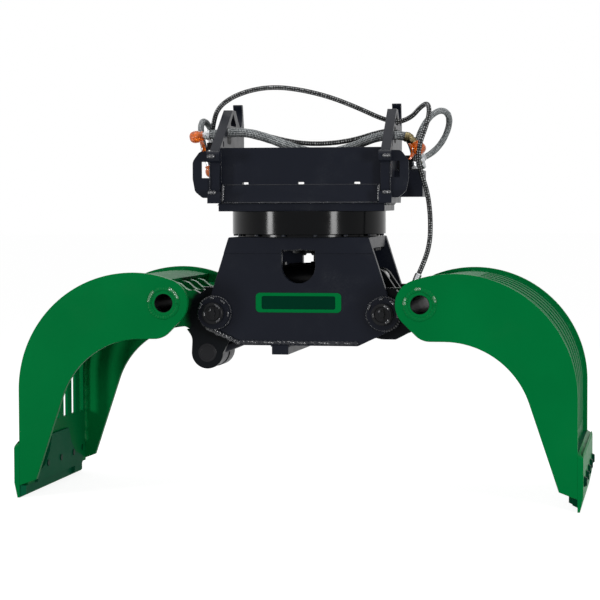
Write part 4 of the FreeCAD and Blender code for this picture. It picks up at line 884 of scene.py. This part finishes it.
    def shell_seams(self) -> None:
        """Beads inside the jaws between the back sheet and the side plates."""
        centre_x, centre_z, inner = 560.0, 380.0, 392.0
        for body, side in ((Body.LEFT, -1), (Body.RIGHT, 1)):
            t = np.radians(np.linspace(98.0, 0.0, 60))
            arc = np.stack([centre_x + inner * np.cos(t), 0 * t, centre_z + inner * np.sin(t)], -1)
            arc = np.concatenate([arc, [[centre_x + inner, 0, 110.0]]])
            inward = np.stack([-np.cos(t), 0 * t, -np.sin(t)], -1)
            inward = np.concatenate([inward, [[-1.0, 0.0, 0.0]]])
            for y in (-339.0, 339.0):
                line = arc * [side, 1, 1] + [0, y, 0]
                away = np.array([0.0, -math.copysign(1.0, y), 0.0])
                up = inward * [side, 1, 1] * 0.7 + away * 0.7
                across = inward * [side, 1, 1] * 0.7 - away * 0.7
                self.add(body, "green", bead(line, across, up, 11.0, 8.0, 60.0))

    def build(self) -> None:
        """Builds all beads and links one piece per group."""
        self.bore_rings()
        self.boss_rings()
        self.frame_edges()
        self.adapter_seams()
        self.shell_seams()
        for (body, paint), grids in self.groups.items():
            mesh = grid_mesh("weld", grids)
            finish = getattr(self.finishes, paint + "_weld")
            piece = add_piece(f"welds_{body.value}_{paint}", mesh, finish, 80.0)
            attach(piece, body.value)
            LOG.info("welds on %s", body.value)


@dataclass
class SmallParts:
    """Bolt heads, washers, a hard pipe on the barrel and corner blocks that the CAD leaves out."""

    finishes: Finishes
    stud_count: int = 15
    stud_circle: float = 265.0
    stud_turn: float = 15.1
    washer: tuple = (-335.0, -181.0, 507.0)
    # Corner blocks across the right jaw: from y, to y, depth; the other jaw has them turned about
    corners: tuple = ((-170.0, -262.0, 34.0), (283.0, 357.0, 24.0))
    corner_x: float = 976.0
    corner_z: tuple = (2.0, 43.0)
    corner_slope: float = 0.4737

    def place(
        self, name: str, grids: list, body: str, slot: Slot, material: bpy.types.Material
    ) -> None:
        """Links one turned piece and rides it on its body."""
        piece = add_piece(name, grid_mesh(name, grids), material, 28.0)
        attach(piece, body)

    def ring_studs(self) -> None:
        """Hexagon heads that hang from the underside of the ring."""
        grids = []
        for k in range(self.stud_count):
            a = math.radians(self.stud_turn + 360.0 * k / self.stud_count)
            x, y = self.stud_circle * math.sin(a), -self.stud_circle * math.cos(a)
            at = np.array([x, y, 926.2]) * MM
            grids.append(lathe(at, np.array([0, 0, -1.0]), [(0, 0), *nut(0, 7.5, 7.2), (7.5, 0)], 24))
        self.place("ring_studs", grids, Body.ADAPTER.value, Slot.BLACK, self.finishes.dark_weld)

    def rod_washer(self) -> None:
        """Dished washer on the rod pin's front end."""
        profile = [
            (-1, 0), (-1, 33), (1.2, 33), (1.8, 32), (1.8, 28),
            (0.9, 24), (0.6, 14), (1.6, 12.5), (1.9, 10), (2, 0),
        ]
        disc = lathe(np.array(self.washer) * MM, np.array([0, -1.0, 0]), profile, 60)
        self.place("rod_washer", [disc], Body.LEFT.value, Slot.BLACK, self.finishes.black)

    def barrel_port(self, body: str) -> None:
        """Hard pipe with a union nut along the top of the cylinder barrel."""
        profile = [(0, 0), (0, 8), (30, 8), (30, 9.5), (48, 9.5), (48, 8.5), (80, 8.5)]
        profile += [*nut(80, 14, 12.5), (94, 9), (112, 9), (114, 0)]
        pipe = lathe(np.array([-74.0, 4.0, 811.0]) * MM, np.array([1.0, 0, 0.03]), profile, 48)
        self.place("barrel_pipe", [pipe], body, Slot.BLACK, self.finishes.black)

    def window_bolts(self) -> None:
        """Two bolt heads on the inner face of the rear plate at the window's upper edge."""
        head = [(0, 0), *nut(0, 12, 11.0), (12, 0)]
        grids = [
            lathe(np.array([x, FRAME_IN_Y + 0.5, 854.0]) * MM, np.array([0, -1.0, 0]), head, 48)
            for x in (-54.0, -17.0)
        ]
        self.place("window_bolts", grids, Body.FRAME.value, Slot.BLACK, self.finishes.black)

    def pin_ends(self) -> None:
        """Hexagon head and keeper ring on each hinge pin's cap."""
        profile = [(-1, 0), (-1, 35), (3, 35), (4.5, 33), (4.5, 27), (2.5, 25), (2.5, 15)]
        profile += [*nut(2.5, 9, 10.5), (11.5, 0)]
        grids = [
            lathe(np.array([x, side * 243.0, HINGE_Z]) * MM, np.array([0, side, 0]), profile, 60)
            for x in (-HINGE_X, HINGE_X)
            for side in (-1.0, 1.0)
        ]
        self.place("pin_ends", grids, Body.FRAME.value, Slot.BLACK, self.finishes.black)

    def edge_corners(self) -> None:
        """Corner blocks at the ends of the bars inside the jaws' lower edges; the underside is cut."""
        for body, turn in ((Body.LEFT, -1.0), (Body.RIGHT, 1.0)):
            grids = []
            for start, end, depth in self.corners:
                x, (low, high) = self.corner_x, self.corner_z
                rise = low + depth * self.corner_slope
                section = np.array([(x, low), (x - depth, rise), (x - depth, high), (x, high)])
                middle = np.broadcast_to(section.mean(0), (4, 2))
                rows = [(middle, start), (section, start), (section, end), (middle, end)]
                ring = [np.stack([p[:, 0] * turn, np.full(4, y * turn), p[:, 1]], -1) for p, y in rows]
                grids.append(np.stack(ring) * MM)
            # The corner blocks take the seat's darker green, painted shade
            self.place("edge_corners_" + body.value, grids, body.value, Slot.GREEN, self.finishes.seat)

    def build(self, packed: dict) -> None:
        """Builds the small parts."""
        self.ring_studs()
        self.rod_washer()
        self.barrel_port(packed["nodes"]["cylinder_barrel"]["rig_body"])
        self.window_bolts()
        self.pin_ends()
        self.edge_corners()
        LOG.info("small parts")


@dataclass
class Badge:
    """Bare plate with a raised green rim on the front of the frame."""

    finishes: Finishes
    half_x: float = 152.0
    half_z: float = 34.5
    centre_z: float = 687.5
    corner: float = 15.0
    rim_x: float = 21.0
    rim_z: float = 11.5
    face_y: float = -209.0
    rim_high: float = 2.6

    def outline(self, share: float) -> np.ndarray:
        """Rounded rectangle, share of the rim in from the edge: corner centres plus a turning radius."""
        radius = self.corner - 8.0 * share
        t = np.arange(64) * math.tau / 64 + math.tau / 128
        cx = self.half_x - self.rim_x * share - radius
        cz = self.half_z - self.rim_z * share - radius
        x = np.sign(np.cos(t)) * cx + radius * np.cos(t)
        z = np.sign(np.sin(t)) * cz + radius * np.sin(t) + self.centre_z
        return np.stack([x, z], -1)

    def build(self) -> None:
        """Builds rim and inner plate as closed stacks of outlines."""
        top, low = self.rim_high, self.rim_high - 0.8
        grid = self.stack([(0, -0.5), (0, low), (0.05, top), (0.95, top), (1, low), (1, -0.5), (0, -0.5)])
        rim = add_piece("badge_rim", grid_mesh("badge_rim", [grid]), self.finishes.green)
        inner = self.stack([(0.95, -0.4, 0.0), (0.95, -0.4), (0.95, 1.0), (0.95, 1.0, 0.0)])
        plate = add_piece("badge_plate", grid_mesh("badge_plate", [inner]), self.finishes.field)
        for piece in (rim, plate):
            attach(piece, Body.FRAME.value)
        LOG.info("badge")

    def stack(self, rows: list) -> np.ndarray:
        """Outlines at (share, height, scale about the middle) rows, placed on the plate."""
        grids = []
        for share, high, scale in ((*row, 1.0)[:3] for row in rows):
            middle = np.array([0.0, self.centre_z])
            flat = middle + (self.outline(share) - middle) * scale
            grids.append(np.stack([flat[:, 0], np.full(len(flat), self.face_y - high), flat[:, 1]], -1))
        return np.stack(grids) * MM


# Hoses: control points of their middle lines in mm, in the adapter's own directions


LONG_HOSE = (
    (-356, 30, 1290), (-353, 27, 1321), (-333, 11, 1378), (-283, 3, 1415), (-225, 0, 1437),
    (-164, 0, 1449), (-101, 1, 1450), (-40, 3, 1442), (21, 7, 1429), (80, 12, 1412),
    (138, 19, 1390), (194, 28, 1366), (250, 37, 1340), (311, 44, 1321), (366, 21, 1339),
    (400, -20, 1374), (429, -72, 1387), (439, -123, 1353), (428, -157, 1300), (408, -171, 1245),
    (399, -161, 1184), (416, -150, 1125), (433, -142, 1066), (441, -140, 1005), (443, -145, 947),
    (441, -153, 900), (430, -176, 846), (405, -203, 787),
)
SLEEVED_HOSE = (
    (-346, -77, 1279), (-307, -77, 1284), (-227, -77, 1289), (-150, -78, 1271), (-76, -82, 1242),
    (0, -88, 1217), (79, -91, 1209), (156, -86, 1229), (229, -79, 1261), (306, -74, 1278),
    (350, -77, 1268),
)
THIN_HOSE = (
    (-345, -30, 1286), (-314, -31, 1292), (-252, -34, 1295), (-190, -37, 1286), (-130, -38, 1271),
    (-69, -39, 1256), (-7, -40, 1247), (56, -40, 1246), (119, -40, 1251), (180, -38, 1263),
    (240, -35, 1282), (302, -33, 1294), (355, -35, 1268), (377, -38, 1210), (379, -38, 1180),
)
RIGHT_LOOP = (
    (395, 4, 1196), (388, -15, 1213), (392, -39, 1259), (412, -41, 1308), (441, -19, 1347),
    (470, 21, 1365), (492, 68, 1358), (499, 112, 1330), (487, 141, 1287), (461, 147, 1242),
    (424, 130, 1207), (406, 113, 1200),
)
LEFT_LOOP = (
    (-375, -40, 1236), (-382, -40, 1262), (-391, -15, 1307), (-393, 31, 1333), (-389, 85, 1333),
    (-378, 131, 1307), (-364, 158, 1262), (-357, 158, 1236),
)


@dataclass
class Hose:
    """One hydraulic hose on a smooth route of control points, in the adapter's own directions."""

    name: str
    node: str
    route: tuple
    diameter: float
    length: float
    far_end: str
    material: bpy.types.Material
    slot: Slot
    lumps: float = 0.0
    around: int = 28

    def centre_line(self) -> np.ndarray:
        """Points of the NURBS spline that has the route as its control points."""
        control = turned(np.array(self.route, float)) * MM
        curve = bpy.data.curves.new(self.name + "_route", "CURVE")
        curve.dimensions = "3D"
        spline = curve.splines.new("NURBS")
        spline.points.add(len(control) - 1)
        spline.points.foreach_set("co", np.c_[control, np.ones(len(control))].ravel())
        spline.order_u = 3
        spline.use_endpoint_u = True
        curve.resolution_u = 14
        holder = bpy.data.objects.new(self.name + "_route", curve)
        mesh = bpy.data.meshes.new_from_object(holder)
        points = np.empty(len(mesh.vertices) * 3)
        mesh.vertices.foreach_get("co", points)
        bpy.data.objects.remove(holder)
        bpy.data.curves.remove(curve)
        bpy.data.meshes.remove(mesh)
        return points.reshape(-1, 3)

    def build(self, pieces: list) -> bpy.types.Object:
        """Tube round the centre line.

        A point is c(s) + r (a(s) cos t + b(s) sin t); a and b turn as little as the line allows,
        and r swells a little in slow waves where the hose wears a loose sleeve.

        Args:
            pieces: fittings and caps that go with the hose; not used.

        Returns:
            The tube.
        """
        line = self.centre_line()
        way = np.gradient(line, axis=0)
        way /= np.linalg.norm(way, axis=1)[:, None]
        across = [frame_of(way[0])[0]]
        for tangent in way[1:]:
            side = across[-1] - tangent * across[-1].dot(tangent)
            across.append(side / np.linalg.norm(side))
        across = np.array(across)
        up = np.cross(way, across)
        travel = np.concatenate([[0.0], np.cumsum(np.linalg.norm(np.diff(line, axis=0), axis=1))])
        t = np.arange(self.around) * math.tau / self.around
        ring = across[:, None] * np.cos(t)[None, :, None] + up[:, None] * np.sin(t)[None, :, None]
        s = travel[:, None]
        swell = np.sin(s * 95.0 + 2.0 * np.sin(t)) * np.sin(s * 41.0 + t * 3.0)
        radius = self.diameter / 2 * (1.0 + self.lumps * swell)
        body = line[:, None] + radius[..., None] * ring
        first, last = (line[None, k:][:, :1].repeat(self.around, 1) for k in (0, -1))
        rows = np.concatenate([first, body, last])
        along = np.concatenate([[0.0], travel, travel[-1:]])
        mesh = self.tube_mesh(rows, along)
        piece = add_piece(self.name, mesh, self.material, 60.0)
        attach(piece, Body.ADAPTER.value)
        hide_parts(self.node)
        LOG.info("hose %s, %.3f m along its line", self.name, travel[-1])
        return piece

    def tube_mesh(self, rows: np.ndarray, along: np.ndarray) -> bpy.types.Mesh:
        """Quads between the rings, with a map of metres along and turns around."""
        count, cols = rows.shape[:2]
        i, j = np.meshgrid(np.arange(count - 1), np.arange(cols), indexing="ij")
        i, j = i.ravel(), j.ravel()
        nxt = (j + 1) % cols
        quads = np.stack([i * cols + j, i * cols + nxt, (i + 1) * cols + nxt, (i + 1) * cols + j], -1)
        mesh = bpy.data.meshes.new(self.name)
        mesh.from_pydata(rows.reshape(-1, 3).tolist(), [], quads.tolist())
        u = np.stack([along[i], along[i], along[i + 1], along[i + 1]], -1)
        v = np.stack([j, j + 1, j + 1, j], -1) / cols
        layer = mesh.uv_layers.new(name="route")
        layer.data.foreach_set("uv", np.stack([u, v], -1).ravel())
        work = bmesh.new()
        work.from_mesh(mesh)
        bmesh.ops.remove_doubles(work, verts=work.verts, dist=1e-7)
        bmesh.ops.recalc_face_normals(work, faces=work.faces)
        work.to_mesh(mesh)
        work.free()
        return mesh


@dataclass
class HoseEnd:
    """Where a hose ends: the point, the way it leads on, in adapter millimetres."""

    route: tuple
    back: bool

    def start(self) -> np.ndarray:
        """End point in row metres."""
        point = self.route[-1] if self.back else self.route[0]
        return turned(np.array(point, float)) * MM

    def way(self) -> np.ndarray:
        """Unit vector out of the hose's end."""
        pair = (self.route[-1], self.route[-2]) if self.back else (self.route[0], self.route[1])
        way = turned(np.array(pair[0], float) - np.array(pair[1], float))
        return way / np.linalg.norm(way)


def ferrule(length: float, radius: float) -> list:
    """Profile of a crimped sleeve: shallow grooves between rounded lands."""
    groove = radius - 1.2
    rows = [(0, 0), (0, radius - 1.4), (1, radius - 0.4)]
    lands = max(2, int(length / 7))
    step = (length - 3) / lands
    for k in range(lands):
        at = 1.5 + k * step
        rows += [(at, radius), (at + step * 0.62, radius)]
        rows += [(at + step * 0.74, groove), (at + step * 0.9, groove)]
    rows += [(length - 1, radius - 0.6), (length, radius - 2.2)]
    return rows


def nut(start: float, length: float, radius: float) -> list:
    """Profile of a hexagon with chamfered corners."""
    return [
        (start, radius * 0.93, 0), (start + 1.2, radius, 0.7), (start + 1.8, radius, 1),
        (start + length - 1.8, radius, 1), (start + length - 1.2, radius, 0.7),
        (start + length, radius * 0.93, 0),
    ]


@dataclass
class Fittings:
    """Silver ferrules and nuts, and orange dust caps, at the hose ends."""

    finishes: Finishes
    made: dict = field(default_factory=dict)

    def piece(self, name: str, grids: list, orange: bool = False) -> None:
        """Links one fitting or cap on the adapter."""
        material = self.finishes.orange if orange else self.finishes.steel
        if name == "fitting_sleeved_out":
            material = self.finishes.olive
        piece = add_piece(name, grid_mesh(name, grids), material, 28.0)
        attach(piece, Body.ADAPTER.value)
        self.made[name] = piece

    def cap_profile(self, radius: float, length: float) -> list:
        """Dust cap: rim, neck and a ribbed bulb, r = R (1 - u^2.4)^(1/2.4) past the widest place."""
        neck = ((0, 0.7), (1.5, 0.78), (5, 0.78), (7, 0.66), (9, 0.68))
        rows = [(0, 0)] + [(h, radius * share) for h, share in neck]
        wide = 9 + (length - 9) * 0.42
        for h in np.linspace(10, length, 26):
            if h < wide:
                r = radius * (1.0 - 0.26 * ((wide - h) / (wide - 9)) ** 2)
            else:
                r = radius * max(0.0, 1.0 - ((h - wide) / (length - wide)) ** 2.4) ** (1 / 2.4)
            rows.append((h, r + 0.5 * math.sin(h * 1.6) * min(1.0, r / 8)))
        return rows

    def build(self) -> None:
        """Builds every fitting where its hose ends."""
        routes = {
            "long": LONG_HOSE, "sleeved": SLEEVED_HOSE, "thin": THIN_HOSE,
            "right": RIGHT_LOOP, "left": LEFT_LOOP,
        }
        ends = {
            f"{key}_{side}": HoseEnd(route, side == "out")
            for key, route in routes.items()
            for side in ("in", "out")
        }
        stems = {
            "long_in": ferrule(22, 12) + nut(22, 14, 13) + [(36, 0)],
            "long_out": ferrule(27, 12) + nut(27, 7, 10) + [(34, 8), (39, 8), (39, 0)],
            "sleeved_in": ferrule(13, 18) + nut(13, 8, 14) + [(21, 12.5), (25, 12.5), (25, 0)],
            "thin_in": ferrule(14, 11) + nut(14, 7, 9) + [(21, 7.5), (24, 7.5), (24, 0)],
            "thin_out": ferrule(18, 11.5) + nut(18, 9, 13) + [(27, 0)],
            "right_in": ferrule(26, 14) + nut(26, 14, 11) + [(40, 9), (52, 9), (52, 0)],
            "right_out": ferrule(22, 14) + nut(22, 10, 15) + [(32, 0)],
            "left_in": ferrule(30, 14) + nut(30, 14, 11) + [(44, 9), (68, 9), (68, 0)],
            "left_out": ferrule(26, 14) + nut(26, 12, 13) + [(38, 0)],
        }
        for name, profile in stems.items():
            self.piece("fitting_" + name, [lathe(ends[name].start(), ends[name].way(), profile, 72)])
        start, way = ends["sleeved_out"].start(), ends["sleeved_out"].way()
        bend = start + way * 0.017
        turn = turned(np.array([0.62, -0.3, -0.72]))
        turn /= np.linalg.norm(turn)
        stub = [(0, 0), (0, 12), (10, 12)] + nut(10, 12, 14) + [(22, 12), (30, 12), (30, 0)]
        elbow = [
            lathe(start, way, ferrule(17, 18) + [(17, 12), (20, 0)], 72),
            self.ball(bend, 15.0),
            lathe(bend, turn, stub, 72),
        ]
        self.piece("fitting_sleeved_out", elbow)
        inner, low = ends["sleeved_in"], ends["left_in"]
        for name, at, out, radius, length in (
            ("cap_left", inner.start() + inner.way() * 0.025, inner.way(), 22, 50),
            ("cap_right", bend + turn * 0.03, turn, 23.5, 46),
            ("cap_left_low", low.start() + low.way() * 0.068, low.way(), 19, 42),
        ):
            self.piece(name, [lathe(at, out, self.cap_profile(radius, length))], True)
        right = bend + turned(np.array([0.0, -24.0, -20.0])) * MM
        left = inner.start() + inner.way() * 0.03 + np.array([0.0, -0.02, -0.016])
        t = np.linspace(0.0, 1.0, 24)[:, None]
        hang = np.concatenate([0.012 * np.sin(t * math.pi), -0.004 * np.sin(t * math.tau), -0.058 * t], 1)
        broad, flat = np.array([0.9, 0.4, 0.0]), np.array([0.4, -0.9, 0.0])
        for name, top in (("strap_right", right), ("strap_left", left)):
            self.piece(name, [bead((top + hang) / MM, broad, flat, 5.0, 1.4, pitch=400.0)], True)
        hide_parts("hose_caps")
        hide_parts("hose_couplings")
        LOG.info("fittings %d", len(self.made))

    def ball(self, centre: np.ndarray, radius: float) -> np.ndarray:
        """Sphere as a turned half circle."""
        t = np.radians(np.linspace(-90, 90, 15))
        profile = [(radius * math.sin(a), radius * math.cos(a)) for a in t]
        return lathe(centre, np.array([0.0, 0.0, 1.0]), profile)


def build_hoses(finishes: Finishes, fittings: Fittings) -> None:
    """Builds the five hoses and hands each the fittings that go with it, which it does not use."""
    made = fittings.made
    rows = (
        (
            "hose_long_woven", "hose_long", LONG_HOSE, 0.017, 1.60, "fitting", Slot.HOSE, 0.0,
            ("fitting_long_in", "fitting_long_out"),
        ),
        (
            "hose_across_woven", "hose_cross_thin", THIN_HOSE, 0.017, 0.80, "fitting", Slot.HOSE, 0.0,
            ("fitting_thin_in", "fitting_thin_out"),
        ),
        (
            "hose_across_sleeved", "hose_cross_sleeved", SLEEVED_HOSE, 0.032, 0.715, "fitting",
            Slot.SLEEVE, 0.035,
            (
                "fitting_sleeved_in", "fitting_sleeved_out", "cap_left", "cap_right", "strap_left",
                "strap_right",
            ),
        ),
        (
            "hose_loop_right", "hose_right_loop_sleeved", RIGHT_LOOP, 0.022, 0.518, "object",
            Slot.SLEEVE, 0.04, ("fitting_right_in", "fitting_right_out"),
        ),
        (
            "hose_loop_left", "hose_left_loop_sleeved", LEFT_LOOP, 0.022, 0.316, "object",
            Slot.SLEEVE, 0.04, ("fitting_left_in", "fitting_left_out", "cap_left_low"),
        ),
    )
    for name, node, route, diameter, length, end, slot, lumps, with_pieces in rows:
        material = finishes.of_slot(slot.value)
        hose = Hose(name, node, route, diameter, length, end, material, slot, lumps)
        hose.build([made[key] for key in with_pieces])


# Studio


@dataclass
class Studio:
    """Camera of the photograph, white floor and soft lamps."""

    place: tuple = (1.2918, -6.7813, 1.0327)
    target: tuple = (-0.0351, 0.0, 0.6865)
    roll: float = -0.20
    lens: float = 115.2
    aim: tuple = (0.0, 0.0, 0.75)
    soft_light: float = 0.36
    floor_grey: float = 0.30
    floor_glow: float = 0.885
    # Name, place, size and power of each lamp
    lamps: tuple = (
        ("strip_left", (-3.96, -3.53, 1.1), (0.78, 1.15), 128.0),
        ("strip_right", (3.54, -3.36, 1.1), (0.78, 1.15), 108.0),
        ("overhead", (0.3, -0.6, 5.0), (4.5, 3.5), 80.0),
        ("behind", (-1.5, 5.0, 3.2), (4.0, 2.0), 60.0),
    )

    def camera(self) -> None:
        """Camera at the photograph's place."""
        data = bpy.data.cameras.new("camera")
        data.lens = self.lens
        data.sensor_width = 36.0
        data.clip_end = 200.0
        eye = bpy.data.objects.new("camera", data)
        way = Vector(self.target) - Vector(self.place)
        turn = way.to_track_quat("-Z", "Y").to_matrix().to_4x4()
        roll = Matrix.Rotation(math.radians(self.roll), 4, "Z")
        eye.matrix_world = Matrix.Translation(self.place) @ turn @ roll
        bpy.context.scene.collection.objects.link(eye)
        bpy.context.scene.camera = eye

    def lamp(self, name: str, place: tuple, size: tuple, power: float) -> None:
        """Rectangular soft lamp aimed at the grapple."""
        data = bpy.data.lights.new(name, "AREA")
        data.shape = "RECTANGLE"
        data.size, data.size_y = size
        data.energy = power
        lamp = bpy.data.objects.new(name, data)
        way = Vector(self.aim) - Vector(place)
        turn = way.to_track_quat("-Z", "Y").to_matrix().to_4x4()
        lamp.matrix_world = Matrix.Translation(place) @ turn
        bpy.context.scene.collection.objects.link(lamp)

    def seen(self, sh: Shader) -> Wire:
        """1 for camera, glossy and transmission rays."""
        path = sh.node("LightPath", {}, {}, "Is Camera Ray").socket.node.outputs
        total = Wire(sh, path["Is Camera Ray"]) + Wire(sh, path["Is Glossy Ray"])
        return (total + Wire(sh, path["Is Transmission Ray"])).math("MINIMUM", 1.0)

    def world(self) -> None:
        """White where it is seen, plain soft light elsewhere."""
        world = bpy.data.worlds.new("studio")
        world.use_nodes = True
        tree = world.node_tree
        tree.nodes.clear()
        sh = Shader.__new__(Shader)
        sh.tree = tree
        strength = self.seen(sh) * (1.0 - self.soft_light) + self.soft_light
        back = sh.node("Background", {}, {"Color": (1.0, 1.0, 1.0, 1.0), "Strength": strength})
        out = tree.nodes.new("ShaderNodeOutputWorld")
        tree.links.new(back.socket, out.inputs["Surface"])
        bpy.context.scene.world = world

    def floor(self) -> None:
        """Round pale floor: half its white is its own, the rest is lit and takes shadows."""
        sh = Shader("pale_floor")
        diffuse = sh.node("BsdfDiffuse", {}, {"Color": (*(self.floor_grey,) * 3, 1.0)})
        white = {"Color": (1.0, 1.0, 1.0, 1.0), "Strength": self.seen(sh) * self.floor_glow}
        glow = sh.node("Emission", {}, white)
        both = sh.node("AddShader", {}, {0: diffuse, 1: glow})
        sh.tree.links.new(both.socket, sh.out.inputs["Surface"])
        t = np.arange(96) * math.tau / 96
        r = np.array([0.0, 1.0, 4.0, 16.0, 60.0])
        grid = np.stack([r[:, None] * np.cos(t), r[:, None] * np.sin(t), np.full((5, 96), -0.0006)], -1)
        mesh = grid_mesh("floor", [grid])
        if mesh.polygons[0].normal.z < 0:
            mesh.flip_normals()
        floor = add_piece("floor", mesh, sh.material)

    def build(self) -> None:
        """Sets the stage."""
        scene = bpy.context.scene
        scene.view_settings.view_transform = "Standard"
        self.world()
        self.floor()
        for name, place, size, power in self.lamps:
            self.lamp(name, place, size, power)


def main() -> None:
    """Builds every sub-assembly in order."""
    logging.basicConfig(level=logging.INFO, format="%(message)s")
    studio = Studio()
    studio.camera()
    finishes = Finishes.make()
    fittings = Fittings(finishes)
    fittings.build()
    build_hoses(finishes, fittings)
    SteelWork(finishes).build(frame)
    Welds(finishes).build()
    SmallParts(finishes).build(frame)
    Badge(finishes).build()
    studio.build()


if __name__ == "__main__":
    main()
